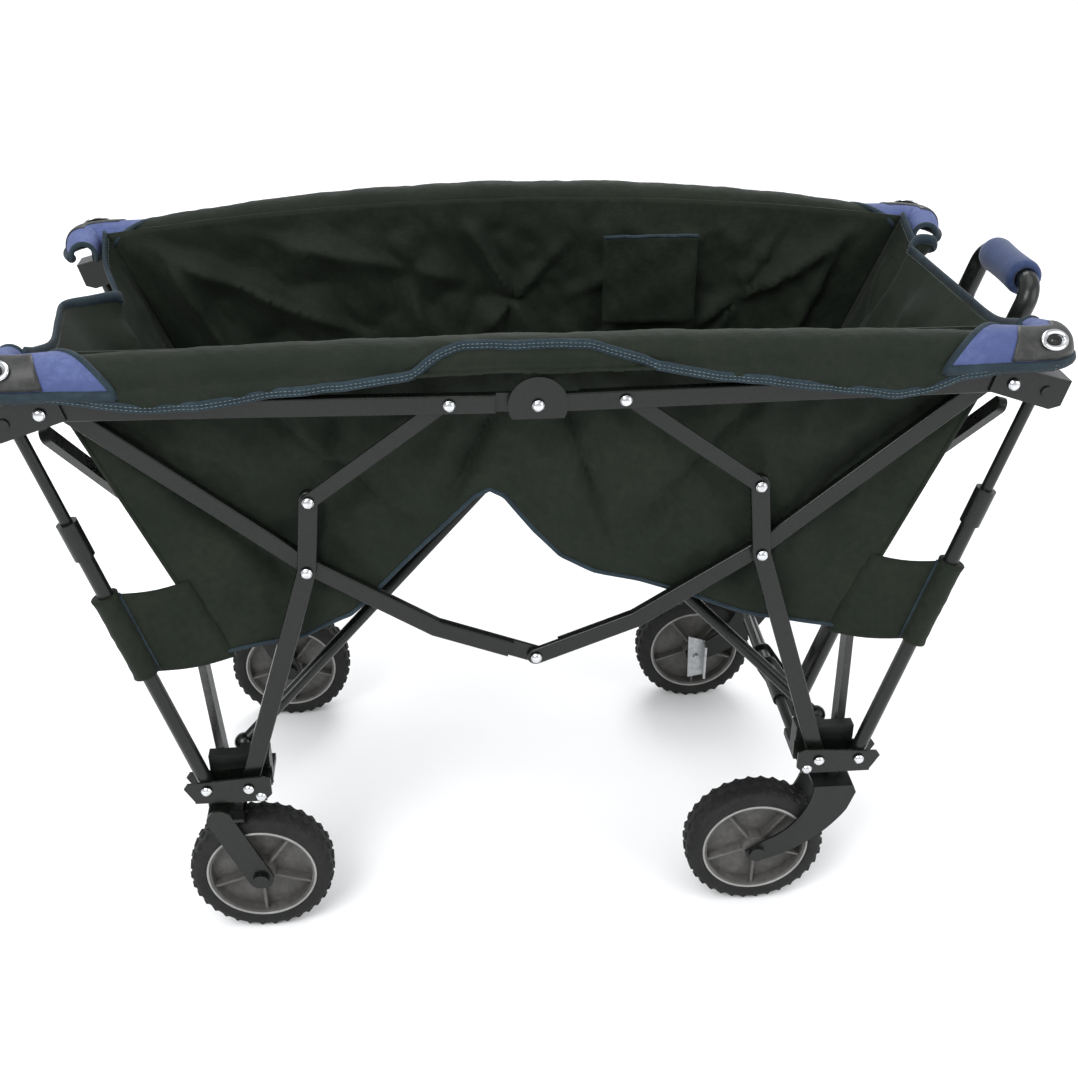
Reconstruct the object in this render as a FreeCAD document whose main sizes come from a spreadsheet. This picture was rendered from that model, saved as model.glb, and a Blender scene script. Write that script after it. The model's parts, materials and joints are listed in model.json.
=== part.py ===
# Four-way folding utility wagon with a fabric bag, a folding steel frame, two fixed rear wheels,
# two front casters and a telescoping pull handle, built as a parametric document.
#
# Frame: millimetres, +Z up, +X to the front (the handle end), +Y to the wagon's left.
# The origin is on the floor under the middle of the frame.
import FreeCAD, Part
import math
import os
import Sketcher

V = FreeCAD.Vector
doc = FreeCAD.newDocument("FoldingWagon")
sheet = doc.addObject("Spreadsheet::Sheet", "Sizes")

# Driving dimensions: alias, value in millimetres (or degrees), meaning.
SIZES = [
    ("eye_x", 450.0, "top bracket pivot, from the middle of the wagon"),
    ("eye_z", 651.7, "top bracket pivot, above the floor"),
    ("post_top_x", 483.4, "post rivet in the top bracket, from the middle"),
    ("post_top_z", 642.8, "post rivet in the top bracket, above the floor"),
    ("rail_mid_z", 645.5, "middle hinge of the top rails, above the floor"),
    ("link_x", 82.2, "link pivot on the rail, from the middle"),
    ("leg_top_x", 220.5, "top of a leg, from the middle"),
    ("leg_top_z", 545.0, "top of a leg, above the floor"),
    ("cross_x", 228.7, "pivot of leg and diagonal, from the middle"),
    ("cross_z", 464.8, "pivot of leg and diagonal, above the floor"),
    ("low_bend_x", 104.0, "bend of a diagonal, from the middle"),
    ("low_bend_z", 384.0, "bend of a diagonal, above the floor"),
    ("low_mid_z", 343.3, "lowest hinge of the diagonals, above the floor"),
    ("hub_leg_x", 311.9, "leg pivot in the hub plate, from the middle"),
    ("hub_post_x", 356.5, "post pivot in the hub plate, from the middle"),
    ("hub_z", 202.6, "both hub pivots, above the floor"),
    ("leg_plane", 202.0, "middle of the leg tubes, from the centre plane"),
    ("post_plane", 205.0, "middle of the posts, from the centre plane"),
    ("tube_deep", 10.0, "thickness of the flat tubes"),
    ("tube_tall", 19.0, "height of the flat tubes"),
    ("tube_round", 2.0, "rounding of the flat tubes' edges"),
    ("link_deep", 3.0, "thickness of the flat links"),
    ("link_tall", 15.0, "height of the flat links"),
    ("layer_gap", 1.0, "clear space between two layers of bars"),
    ("link_gap", 0.5, "clear space beside a flat link"),
    ("pin_radius", 4.0, "radius of the pivot pins"),
    ("pin_clear", 0.05, "radial clearance of a pin in its hole"),
    ("head_radius", 5.5, "radius of a rivet head"),
    ("head_deep", 2.0, "height of a rivet head"),
    ("outer_radius", 8.0, "radius of a post's lower tube"),
    ("inner_radius", 6.0, "radius of a post's upper tube"),
    ("collar_radius", 10.5, "radius of the plastic collar on a post"),
    ("collar_long", 34.0, "length of the plastic collar"),
    ("post_joint_up", 335.0, "top of the post's lower tube, along it from the hub pivot"),
    ("post_insert", 150.0, "length of upper tube inside the lower one"),
    ("plate_deep", 2.5, "thickness of bracket and hub plates"),
    ("bracket_tall", 33.0, "height of a top bracket"),
    ("hub_tall", 38.0, "height of a hub plate"),
    ("wheel_radius", 80.0, "radius of a wheel"),
    ("tyre_wide", 38.0, "width of a tyre"),
    ("rim_radius", 60.0, "outer radius of a rim"),
    ("wheel_plane", 200.0, "middle of a wheel, from the centre plane"),
    ("rear_axle_x", 310.0, "rear axle, behind the middle"),
    ("front_axle_x", 250.0, "front axles at rest, before the middle"),
    ("swivel_x", 334.0, "caster swivel, before the middle"),
    ("axle_radius", 5.0, "radius of an axle"),
    ("fork_deep", 3.0, "thickness of a fork arm"),
    ("fork_gap", 3.0, "clear space between tyre and fork arm"),
    ("end_bar_y", 172.0, "pivots of the end bars, from the centre plane"),
    ("end_bar_up", 400.0, "rise of an end bar, along the posts"),
    ("end_bar_deep", 9.0, "thickness of an end bar"),
    ("end_bar_tall", 16.0, "width of an end bar"),
    ("end_bar_in", 5.0, "outer face of the outer end bar, inside the post's axis"),
    ("floor_low_x", 320.0, "lower pivot of a floor bar, from the middle"),
    ("floor_low_y", 163.0, "lower pivot of a floor bar, from the centre plane"),
    ("floor_low_z", 225.0, "lower pivot of a floor bar, above the floor"),
    ("floor_top_x", 35.0, "upper pivot of a floor bar, from the middle"),
    ("floor_top_y", 23.0, "upper pivot of a floor bar, from the centre plane"),
    ("floor_top_z", 470.0, "upper pivot of a floor bar, above the floor"),
    ("floor_bar_radius", 7.0, "radius of a floor bar"),
    ("cross_bar_x", 300.0, "front cross bar, before the middle"),
    ("cross_bar_z", 190.0, "front cross bar, above the floor"),
    ("cross_rod_radius", 6.0, "radius of the cross bar's rods"),
    ("cross_rod_long", 87.0, "length of a rod from its hub"),
    ("cross_sleeve_radius", 8.5, "radius of the cross bar's sleeve"),
    ("handle_low_x", 345.0, "handle pivot, before the middle"),
    ("handle_low_z", 121.0, "handle pivot, above the floor"),
    ("handle_lean", 17.6, "lean of the stored handle from upright"),
    ("handle_radius", 12.0, "radius of the handle's lower tube"),
    ("shaft_radius", 9.5, "radius of the handle's upper tube"),
    ("handle_split", 400.0, "top of the handle's lower tube, along it from the pivot"),
    ("handle_insert", 330.0, "length of upper tube inside the lower one"),
    ("grip_along", 598.0, "middle of the grip, along the handle from its pivot"),
    ("loop_half", 66.0, "half the width of the handle's loop"),
    ("loop_tall", 86.0, "height of the handle's loop under the grip"),
    ("loop_radius", 11.0, "radius of the loop's tube"),
    ("grip_radius", 19.0, "radius of the foam grip"),
    ("grip_half", 44.0, "half the length of the foam grip"),
    ("bag_half_wide", 182.9, "outer face of the bag's side walls, from the centre plane"),
    ("bag_skin", 4.0, "thickness of the padded fabric"),
    ("bag_top_x", 455.0, "top of the bag's end walls, from the middle"),
    ("bag_top_z", 700.0, "top of the bag"),
    ("bag_low_x", 322.0, "bottom of the bag's end walls, from the middle"),
    ("bag_low_z", 356.0, "lowest line of the bag"),
    ("bag_mid_x", 50.0, "raised middle of the floor, half its length"),
    ("bag_mid_z", 502.0, "underside of the floor over the middle hub"),
    ("bag_step_x", 155.0, "break of the floor's slope, from the middle"),
    ("bag_step_z", 428.0, "break of the floor's slope, above the floor"),
    ("roll_out", 222.0, "outer face of the rolled rim, from the centre plane"),
    ("roll_low_z", 675.0, "underside of the rolled rim"),
]

for row, (alias, value, meaning) in enumerate(SIZES, start=1):
    sheet.set("A%d" % row, meaning)
    sheet.set("B%d" % row, "%g" % value)
    sheet.setAlias("B%d" % row, alias)
doc.recompute()


def size(alias):
    """The value of one driving dimension."""
    return float(sheet.get(alias))


# Layers of the side frame, each given by the middle of its thickness from the centre plane.
DEEP = size("tube_deep")
LEG_Y = size("leg_plane")
DIAGONAL_Y = LEG_Y - DEEP - 1.5 * size("layer_gap")
LINK_Y = LEG_Y + DEEP / 2 + size("link_gap") + size("link_deep") / 2
RAIL_Y = LINK_Y + size("link_deep") / 2 + size("link_gap") + DEEP / 2
POST_Y = size("post_plane")
PLATE = size("plate_deep")
HALF_TALL = size("tube_tall") / 2

# Pivots of the front right quarter in the side view, as (x, z).
EYE = V(size("eye_x"), 0, size("eye_z"))
POST_TOP = V(size("post_top_x"), 0, size("post_top_z"))
RAIL_MID = V(0, 0, size("rail_mid_z"))
LEG_TOP = V(size("leg_top_x"), 0, size("leg_top_z"))
CROSS = V(size("cross_x"), 0, size("cross_z"))
LOW_BEND = V(size("low_bend_x"), 0, size("low_bend_z"))
LOW_MID = V(0, 0, size("low_mid_z"))
HUB_LEG = V(size("hub_leg_x"), 0, size("hub_z"))
HUB_POST = V(size("hub_post_x"), 0, size("hub_z"))
LINK_ON_RAIL = RAIL_MID + (EYE - RAIL_MID) * (size("link_x") / size("eye_x"))

# A corner is (front or rear, left or right) with the signs of its x and y.
ENDS = [("rear", -1), ("front", 1)]
SIDES = [("right", -1), ("left", 1)]
CORNERS = [(end + "_" + side, sx, sy) for end, sx in ENDS for side, sy in SIDES]


def at(point, sx, y):
    """A pivot of the quarter view, carried to one end of the wagon and to a plane y."""
    return V(point.x * sx, y, point.z)


def origin_plane(body, role):
    """One of a body's own origin planes, found by its role."""
    return [item for item in body.Origin.OriginFeatures if item.Role == role][0]


def rounded_path(points, half_width):
    """Edges of a closed outline around a bent bar: straight sides and round ends, as geometry in x, y."""
    left, right = [], []
    for i, point in enumerate(points):
        before = (point - points[i - 1]).normalize() if i else None
        after = (points[i + 1] - point).normalize() if i < len(points) - 1 else None
        along = before or after
        if before and after:
            along = (before + after).normalize()
            stretch = 1.0 / along.dot(after)
        else:
            stretch = 1.0
        side = V(-along.y, along.x, 0) * half_width * stretch
        left.append(point + side)
        right.append(point - side)
    first = (points[0] - points[1]).normalize() * half_width
    last = (points[-1] - points[-2]).normalize() * half_width
    edges = [Part.LineSegment(a, b) for a, b in zip(left, left[1:])]
    edges.append(Part.Arc(left[-1], points[-1] + last, right[-1]))
    edges += [Part.LineSegment(a, b) for a, b in zip(right[::-1], right[::-1][1:])]
    edges.append(Part.Arc(right[0], points[0] + first, left[0]))
    return edges


def outline(points):
    """Edges of a closed polygon, as geometry in x, y."""
    return [Part.LineSegment(a, b) for a, b in zip(points, points[1:] + points[:1])]


def round_outer_edges(body, pad, thickness, radius_alias, holes):
    """Rounds the long edges of a bar on both flat faces, and leaves its holes sharp."""
    names = []
    for number, edge in enumerate(pad.Shape.Edges, start=1):
        box = edge.BoundBox
        on_face = box.YLength < 1e-6 and abs(abs(box.YMin) - thickness / 2) < 1e-6
        in_hole = any((edge.CenterOfMass - V(h.x, edge.CenterOfMass.y, h.y)).Length < 1e-3 for h in holes)
        if on_face and not in_hole:
            names.append("Edge%d" % number)
    fillet = body.newObject("PartDesign::Fillet", "Rounding")
    fillet.Base = (pad, names)
    fillet.setExpression("Radius", "Sizes." + radius_alias)
    body.Tip = fillet


def flat_piece(name, edges, thickness_alias, y, holes=(), hole_extra="pin_clear", round_alias=None):
    """A body padded both ways from a side-view sketch, with pin holes, carried to the plane y."""
    body = doc.addObject("PartDesign::Body", name)
    sketch = body.newObject("Sketcher::SketchObject", "Outline")
    sketch.AttachmentSupport = [(origin_plane(body, "XZ_Plane"), "")]
    sketch.MapMode = "FlatFace"
    sketch.addGeometry(edges, False)
    for hole in holes:
        radius = size("pin_radius") + size(hole_extra)
        index = sketch.addGeometry(Part.Circle(hole, V(0, 0, 1), radius), False)
        constraint = sketch.addConstraint(Sketcher.Constraint("Radius", index, radius))
        sketch.setExpression("Constraints[%d]" % constraint, "Sizes.pin_radius + Sizes." + hole_extra)
    pad = body.newObject("PartDesign::Pad", "Pad")
    pad.Profile = sketch
    pad.setExpression("Length", "Sizes." + thickness_alias)
    pad.Midplane = True
    doc.recompute()
    if round_alias:
        round_outer_edges(body, pad, size(thickness_alias), round_alias, holes)
    body.Placement = FreeCAD.Placement(V(0, y, 0), FreeCAD.Rotation())
    return body


def flat(point, sx=1):
    """A side-view pivot as sketch coordinates."""
    return V(point.x * sx, point.z, 0)


def cylinder(name, radius, height, start, direction):
    """A Part cylinder from a start point; radius and height are expressions on the sheet."""
    item = doc.addObject("Part::Cylinder", name)
    item.setExpression("Radius", radius)
    item.setExpression("Height", height)
    item.Placement = FreeCAD.Placement(start, FreeCAD.Rotation(V(0, 0, 1), direction))
    return item


def box(name, lengths, corner):
    """A Part box from its low corner; the three lengths are numbers or expressions."""
    item = doc.addObject("Part::Box", name)
    for prop, length in zip(("Length", "Width", "Height"), lengths):
        if isinstance(length, str):
            item.setExpression(prop, length)
        else:
            setattr(item, prop, length)
    item.Placement = FreeCAD.Placement(corner, FreeCAD.Rotation())
    return item


def cut(name, base, tool):
    """A Part cut."""
    item = doc.addObject("Part::Cut", name)
    item.Base = base
    item.Tool = tool
    return item


def fuse(name, shapes):
    """A Part fusion of several objects."""
    item = doc.addObject("Part::MultiFuse", name)
    item.Shapes = shapes
    return item


SUBPARTS = []


def subpart(label, pieces):
    """Registers one sub-part: a single object, or a compound of separate solids."""
    if len(pieces) == 1:
        item = pieces[0]
    else:
        item = doc.addObject("Part::Compound", "Group")
        item.Links = pieces
    item.Label = label
    SUBPARTS.append(item)
    return item


def rivet(point, sx, sy, inner, outer, inner_head=True, outer_head=True):
    """A pin with its axis along y between two planes, with a head outside each end."""
    start = at(point, sx, sy * inner)
    outward = V(0, sy, 0)
    shank = cylinder("Shank", "Sizes.pin_radius", "%g" % (outer - inner), start, outward)
    heads = []
    if outer_head:
        heads.append(cylinder("Head", "Sizes.head_radius", "Sizes.head_deep", start + outward * (outer - inner), outward))
    if inner_head:
        heads.append(cylinder("Head", "Sizes.head_radius", "Sizes.head_deep", start, -outward))
    return fuse("Rivet", [shank] + heads)


def lap(body_name, bar, centre, reach, y, remove_outer, sy):
    """Cuts half the thickness of a bar away around a hinge shared by two bars."""
    clear = 0.2
    start = V(centre.x, y + (clear * -1 if remove_outer else -DEEP) * sy, centre.z)
    deep = DEEP + clear
    tool = doc.addObject("Part::Cylinder", "LapTool")
    tool.Radius = reach
    tool.Height = deep
    direction = V(0, sy, 0)
    tool.Placement = FreeCAD.Placement(start, FreeCAD.Rotation(V(0, 0, 1), direction))
    return cut(body_name, bar, tool)


RAIL_LAP = 40.0
DIAGONAL_LAP = 30.0
FACE = 0.3
NUT_TALL = 5.0
BALL_ROOM = 4.0


def make_rail(end, side, sx, sy):
    """A top rail: a flat tube from the bracket to the middle hinge, halved at the hinge."""
    path = [flat(RAIL_MID), flat(EYE, sx)]
    holes = [flat(RAIL_MID), flat(LINK_ON_RAIL, sx), flat(EYE, sx)]
    bar = flat_piece("RailBar", rounded_path(path, HALF_TALL), "tube_deep", sy * RAIL_Y, holes,
                     round_alias="tube_round")
    halved = lap("RailHalved", bar, RAIL_MID, RAIL_LAP, sy * RAIL_Y, end == "rear", sy)
    inner = RAIL_Y - DEEP / 2 - FACE
    outer = RAIL_Y + DEEP / 2 + FACE
    link_pin = rivet(LINK_ON_RAIL, sx, sy, LINK_Y - size("link_deep") / 2 - FACE, outer)
    pieces = [halved, link_pin]
    if end == "rear":
        pieces.append(rivet(RAIL_MID, 1, sy, inner, outer + PLATE + FACE))
        pieces.append(make_hinge_cover(sy))
    subpart("rail_%s_%s" % (end, side), pieces)


def make_hinge_cover(sy):
    """The half-round cover plate over the middle hinge, flat at its lower edge."""
    radius, drop = 28.0, 14.0
    side_x = math.sqrt(radius ** 2 - drop ** 2)
    low = RAIL_MID.z - drop
    right, left = V(side_x, low, 0), V(-side_x, low, 0)
    edges = [Part.LineSegment(left, right), Part.Arc(right, V(0, RAIL_MID.z + radius, 0), left)]
    y = RAIL_Y + DEEP / 2 + FACE + PLATE / 2
    return flat_piece("HingeCover", edges, "plate_deep", sy * y, [flat(RAIL_MID)])


def make_link(end, side, sx, sy):
    """The flat steel link from the rail down to the top of the leg."""
    path = [flat(LINK_ON_RAIL, sx), flat(LEG_TOP, sx)]
    edges = rounded_path(path, size("link_tall") / 2)
    bar = flat_piece("LinkBar", edges, "link_deep", sy * LINK_Y, [flat(LINK_ON_RAIL, sx)])
    head = outer_rivet_head(LEG_TOP, sx, sy, LINK_Y + size("link_deep") / 2 + 0.1)
    subpart("link_%s_%s" % (end, side), [bar, head])


def make_diagonal(end, side, sx, sy):
    """A bent diagonal tube from the lowest hinge over the leg pivot up to the bracket."""
    path = [flat(LOW_MID), flat(LOW_BEND, sx), flat(CROSS, sx), flat(EYE, sx)]
    holes = [flat(LOW_MID), flat(CROSS, sx), flat(EYE, sx)]
    bar = flat_piece("DiagonalBar", rounded_path(path, HALF_TALL), "tube_deep", sy * DIAGONAL_Y, holes,
                     round_alias="tube_round")
    halved = lap("DiagonalHalved", bar, LOW_MID, DIAGONAL_LAP, sy * DIAGONAL_Y, end == "rear", sy)
    inner = DIAGONAL_Y - DEEP / 2 - FACE
    outer = LEG_Y + DEEP / 2 + FACE
    pieces = [halved, rivet(CROSS, sx, sy, inner, outer)]
    if end == "rear":
        pieces.append(low_hinge_pin(sy))
    else:
        pieces.append(outer_rivet_head(LOW_MID, sx, sy, DIAGONAL_Y + DEEP / 2 + 0.1))
    subpart("diagonal_%s_%s" % (end, side), pieces)


def low_hinge_pin(sy):
    """The pin of the lowest hinge, held by the inner half of the rear diagonal."""
    inner = DIAGONAL_Y - DEEP / 2 - FACE
    return rivet(LOW_MID, 1, sy, inner, DIAGONAL_Y - FACE, outer_head=False)


def make_leg(name, sx, sy):
    """A leg: a flat tube from the hub plate over the diagonal's pivot to the link's end."""
    path = [flat(HUB_LEG, sx), flat(CROSS, sx), flat(LEG_TOP, sx)]
    bar = flat_piece("LegBar", rounded_path(path, HALF_TALL), "tube_deep", sy * LEG_Y,
                     [flat(HUB_LEG, sx), flat(CROSS, sx), flat(LEG_TOP, sx)], round_alias="tube_round")
    top_pin = rivet(LEG_TOP, sx, sy, LEG_Y - DEEP / 2 - FACE, LEG_Y + DEEP / 2 - FACE, outer_head=False)
    subpart("leg_" + name, [bar, top_pin])


def post_frame(sx):
    """Unit vectors of a post's plane: up along the post, and out of its plane away from the bag."""
    up = (V(POST_TOP.x * sx, 0, POST_TOP.z) - V(HUB_POST.x * sx, 0, HUB_POST.z)).normalize()
    out = V(up.z * sx, 0, -up.x * sx)
    return up, out


def make_post(name, sx, sy):
    """The post's lower tube with its plastic collar, and a hollow bore for the upper tube."""
    up, _ = post_frame(sx)
    low = at(HUB_POST, sx, sy * POST_Y)
    foot = 11.5
    tube = cylinder("PostTube", "Sizes.outer_radius", "Sizes.post_joint_up + %g" % foot, low - up * foot, up)
    collar_start = low + up * (size("post_joint_up") - size("collar_long"))
    collar = cylinder("PostCollar", "Sizes.collar_radius", "Sizes.collar_long + 6", collar_start, up)
    both = fuse("PostOutside", [tube, collar])
    bore_start = low + up * (size("post_joint_up") - size("post_insert") - 20)
    bore = cylinder("PostBore", "Sizes.inner_radius + Sizes.pin_clear", "Sizes.post_insert + 60", bore_start, up)
    bored = cut("PostBored", both, bore)
    pin_hole = cylinder("PostPinHole", "Sizes.pin_radius + Sizes.pin_clear", "30",
                        low - V(0, 15, 0), V(0, 1, 0))
    subpart("post_" + name, [cut("Post", bored, pin_hole)])


def make_bracket(name, sx, sy):
    """The top bracket: a channel over the rail's end, fixed to the post's upper tube."""
    up, _ = post_frame(sx)
    top = at(POST_TOP, sx, sy * POST_Y)
    low = at(HUB_POST, sx, sy * POST_Y)
    inside = low + up * (size("post_joint_up") - size("post_insert"))
    tube_long = (top - inside).Length + 8
    tube = cylinder("UpperTube", "Sizes.inner_radius", "%g" % tube_long, inside, up)
    along = (flat(POST_TOP, sx) - flat(EYE, sx)).normalize()
    across = V(-along.y, along.x, 0) * sx
    half = size("bracket_tall") / 2
    start = flat(EYE, sx) - along * 20
    stop = flat(POST_TOP, sx) + along * 20
    corners = [start + across * (half - 1), stop + across * (half - 1), stop - across * (half - 6),
               stop - along * 10 - across * half, start - across * (half - 4)]
    inner_y = DIAGONAL_Y + DEEP / 2 + FACE + PLATE / 2
    outer_y = RAIL_Y + DEEP / 2 + 0.5 + PLATE / 2
    holes = [flat(EYE, sx)]
    outer_plate = flat_piece("BracketOuter", outline(corners), "plate_deep", sy * outer_y, holes)
    inner_plate = flat_piece("BracketInner", outline(corners), "plate_deep", sy * inner_y, holes)
    wide = outer_y - inner_y + PLATE
    web_low = start + across * (half - 1)
    web_high = stop + across * (half - 1)
    web_edges = outline([web_low, web_high, web_high - across * PLATE, web_low - across * PLATE])
    web = flat_piece("BracketWeb", web_edges, "plate_deep", sy * (outer_y + inner_y) / 2)
    web.Tip.setExpression("Length", "%g" % wide)
    shell = fuse("BracketShell", [outer_plate, inner_plate, web])
    reach_in = RAIL_Y - DEEP / 2 - FACE if sx < 0 else RAIL_Y + DEEP / 2 + FACE
    pins = [rivet(EYE, sx, sy, reach_in, outer_y + PLATE / 2 + FACE, inner_head=False),
            outer_rivet_head(POST_TOP, sx, sy, outer_y + PLATE / 2 + 0.1)]
    subpart("bracket_" + name, [shell, tube] + pins)


def outer_rivet_head(point, sx, sy, y):
    """A rivet head alone, on the outside of the piece that it closes."""
    return cylinder("RivetHead", "Sizes.head_radius", "Sizes.head_deep", at(point, sx, sy * y), V(0, sy, 0))


def make_hub(name, sx, sy):
    """The hub: a bent sheet channel that holds leg and post on two pins, and an inner casting."""
    half = size("hub_tall") / 2
    inner_x, outer_x = size("hub_leg_x") - 24, size("hub_post_x") + 24
    low, high = size("hub_z") - half + 4, size("hub_z") + half - 4
    corners = [V(inner_x * sx, low + 6, 0), V(inner_x * sx, high - 4, 0), V((inner_x + 8) * sx, high, 0),
               V((outer_x - 4) * sx, high - 6, 0), V(outer_x * sx, high - 12, 0),
               V((outer_x - 10) * sx, low, 0), V((inner_x + 6) * sx, low, 0)]
    inner_y = LEG_Y - DEEP / 2 - 0.5 - PLATE / 2
    outer_y = POST_Y + size("outer_radius") + 0.5 + PLATE / 2
    holes = [flat(HUB_LEG, sx), flat(HUB_POST, sx)]
    plates = [flat_piece("HubPlate", outline(corners), "plate_deep", sy * y, holes) for y in (inner_y, outer_y)]
    web_wide = outer_y - inner_y + PLATE
    web = box("HubWeb", [outer_x - inner_x - 16, web_wide, "Sizes.plate_deep"],
              V(min((inner_x + 6) * sx, (outer_x - 10) * sx), min(sy * (inner_y - PLATE / 2),
                sy * (outer_y + PLATE / 2)), low - PLATE))
    shell = fuse("HubShell", plates + [web])
    pins = [rivet(point, sx, sy, inner_y - PLATE / 2 - 0.1, outer_y + PLATE / 2 + 0.1, inner_head=False)
            for point in (HUB_LEG, HUB_POST)]
    subpart("hub_" + name, [shell] + pins)
    make_casting(name, sx, sy, inner_y - PLATE / 2 - 0.3, low)


def make_casting(name, sx, sy, outer_y, low):
    """The black moulded casting on the hub's inner side, with a slot for each bar that it carries."""
    inner_x, outer_x = size("hub_leg_x") - 22, size("hub_post_x") - 2
    wide, tall = 46.0, 44.0
    y_low = min(sy * outer_y, sy * (outer_y - wide))
    block = box("CastingBlock", [outer_x - inner_x, wide, tall], V(min(inner_x * sx, outer_x * sx), y_low, low))
    room = size("floor_bar_radius") + BALL_ROOM
    floor_in, floor_out = inner_x - 2, size("floor_low_x") + room
    floor_wide = wide + 1 - (outer_y - size("floor_low_y")) + room
    floor_slot = box("FloorBarSlot", [floor_out - floor_in, floor_wide, tall],
                     V(min(sx * floor_in, sx * floor_out),
                       min(sy * (outer_y - wide - 1), sy * (outer_y - wide - 1 + floor_wide)), low + 8))
    end_low, end_high = size("hub_post_x") - 34, size("hub_post_x")
    end_wide = wide - (outer_y - size("end_bar_y")) + size("end_bar_tall") / 2 + FACE + 1
    end_slot = box("EndBarSlot", [end_high - end_low, end_wide, tall],
                   V(min(end_low * sx, end_high * sx),
                     min(sy * (outer_y - wide - 1), sy * (outer_y - wide - 1 + end_wide)), low + 7))
    body = cut("CastingSlotted", cut("CastingCut", block, floor_slot), end_slot)
    pieces = [body]
    if sx > 0:
        rod_start = V(size("cross_bar_x"), sy * (outer_y - wide - 0.1), size("cross_bar_z"))
        pieces.append(cylinder("CrossRod", "Sizes.cross_rod_radius", "Sizes.cross_rod_long",
                               rod_start, V(0, -sy, 0)))
    subpart("casting_" + name, pieces)


def ring_body(name, points, sx_center, y):
    """A revolved ring about an axis along y; points are (radius, offset) with straight sides."""
    body = doc.addObject("PartDesign::Body", name)
    sketch = body.newObject("Sketcher::SketchObject", "Section")
    sketch.AttachmentSupport = [(origin_plane(body, "XY_Plane"), "")]
    sketch.MapMode = "FlatFace"
    sketch.addGeometry(outline([V(r, o, 0) for r, o in points]), False)
    turn = body.newObject("PartDesign::Revolution", "Turn")
    turn.Profile = sketch
    turn.ReferenceAxis = (sketch, ["V_Axis"])
    turn.Angle = 360
    body.Placement = FreeCAD.Placement(V(sx_center.x, y, sx_center.z), FreeCAD.Rotation())
    return body


def axle_centre(sx):
    """The middle of a wheel in the side view."""
    x = -size("rear_axle_x") if sx < 0 else size("front_axle_x")
    return V(x, 0, size("wheel_radius"))


def make_wheel(name, sx, sy):
    """Tyre and rim, each turned about the axle."""
    centre, y = axle_centre(sx), sy * size("wheel_plane")
    radius, half, rim = size("wheel_radius"), size("tyre_wide") / 2, size("rim_radius")
    shoulder, crown = half - 5, radius - 3
    tyre = ring_body("Tyre", [(rim + FACE, -half + 2), (rim + 8, -half), (crown - 4, -half), (crown, -shoulder),
                              (radius, -half * 0.3), (radius, half * 0.3), (crown, shoulder),
                              (crown - 4, half), (rim + 8, half), (rim + FACE, half - 2)], centre, y)
    subpart("tyre_" + name, [tyre])
    bore = size("axle_radius") + size("pin_clear")
    hub, web, lip = 15.0, 3.0, 4.0
    rim_ring = ring_body("Rim", [(bore, -half + 1), (hub, -half + 1), (hub, -web), (rim - lip, -web),
                                 (rim - lip, -half + 3), (rim, -half + 3), (rim, half - 3),
                                 (rim - lip, half - 3), (rim - lip, web), (hub, web), (hub, half - 1),
                                 (bore, half - 1)], centre, y)
    ribs = []
    for i in range(5):
        rib = doc.addObject("Part::Box", "Rib")
        rib.Length, rib.Width, rib.Height = rim - lip - hub + 2, 2 * half - 10, 3.0
        turn = FreeCAD.Rotation(V(0, 1, 0), i * 72 + 18)
        rib.Placement = FreeCAD.Placement(V(centre.x, y, centre.z) + turn.multVec(V(hub - 1, -half + 5, -1.5)), turn)
        ribs.append(rib)
    subpart("rim_" + name, [fuse("RimRibbed", [rim_ring] + ribs)])


def fork_sides():
    """The planes of the two fork arms, as distances from the wheel's middle plane."""
    return size("tyre_wide") / 2 + size("fork_gap") + size("fork_deep") / 2


def make_axle(centre, y):
    """The axle with a head or nut outside each fork arm."""
    reach = fork_sides() + size("fork_deep") / 2 + 0.1
    rod = cylinder("AxleRod", "Sizes.axle_radius", "%g" % (2 * reach), V(centre.x, y - reach, centre.z), V(0, 1, 0))
    nuts = [cylinder("AxleNut", "Sizes.axle_radius + 4", "%g" % NUT_TALL, V(centre.x, y + way * reach, centre.z), V(0, way, 0))
            for way in (-1, 1)]
    return fuse("Axle", [rod] + nuts)


def with_axle_hole(arm, centre, y):
    """Bores an arm for the axle."""
    tool = cylinder("AxleHole", "Sizes.axle_radius + Sizes.pin_clear", "80", V(centre.x, y - 40, centre.z), V(0, 1, 0))
    return cut("ArmBored", arm, tool)


def make_rear_fork(name, sy):
    """A fixed rear fork: two flat arms, a bridge over the tyre and a block under the hub."""
    centre, y = axle_centre(-1), sy * size("wheel_plane")
    low = size("hub_z") - size("hub_tall") / 2 + 4 - PLATE
    bridge_z, bridge_tall = 2 * size("wheel_radius") + 4, 4.0
    head = V(-346.0, bridge_z + bridge_tall / 2, 0)
    reach = fork_sides()
    arms = [flat_piece("ForkArm", rounded_path([head, V(centre.x, centre.z, 0)], 14.0), "fork_deep",
                       y + way * reach) for way in (-1, 1)]
    width = 2 * reach + size("fork_deep")
    bridge = box("ForkBridge", [40.0, width, bridge_tall], V(head.x - 14, y - width / 2, bridge_z))
    block_z = bridge_z + bridge_tall
    block = box("ForkBlock", [36.0, 22.0, low - 0.1 - block_z], V(head.x - 12, y - 11, block_z))
    fork = with_axle_hole(fuse("ForkBody", arms + [bridge, block]), centre, y)
    subpart("fork_" + name, [fork, make_axle(centre, y)])


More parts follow.
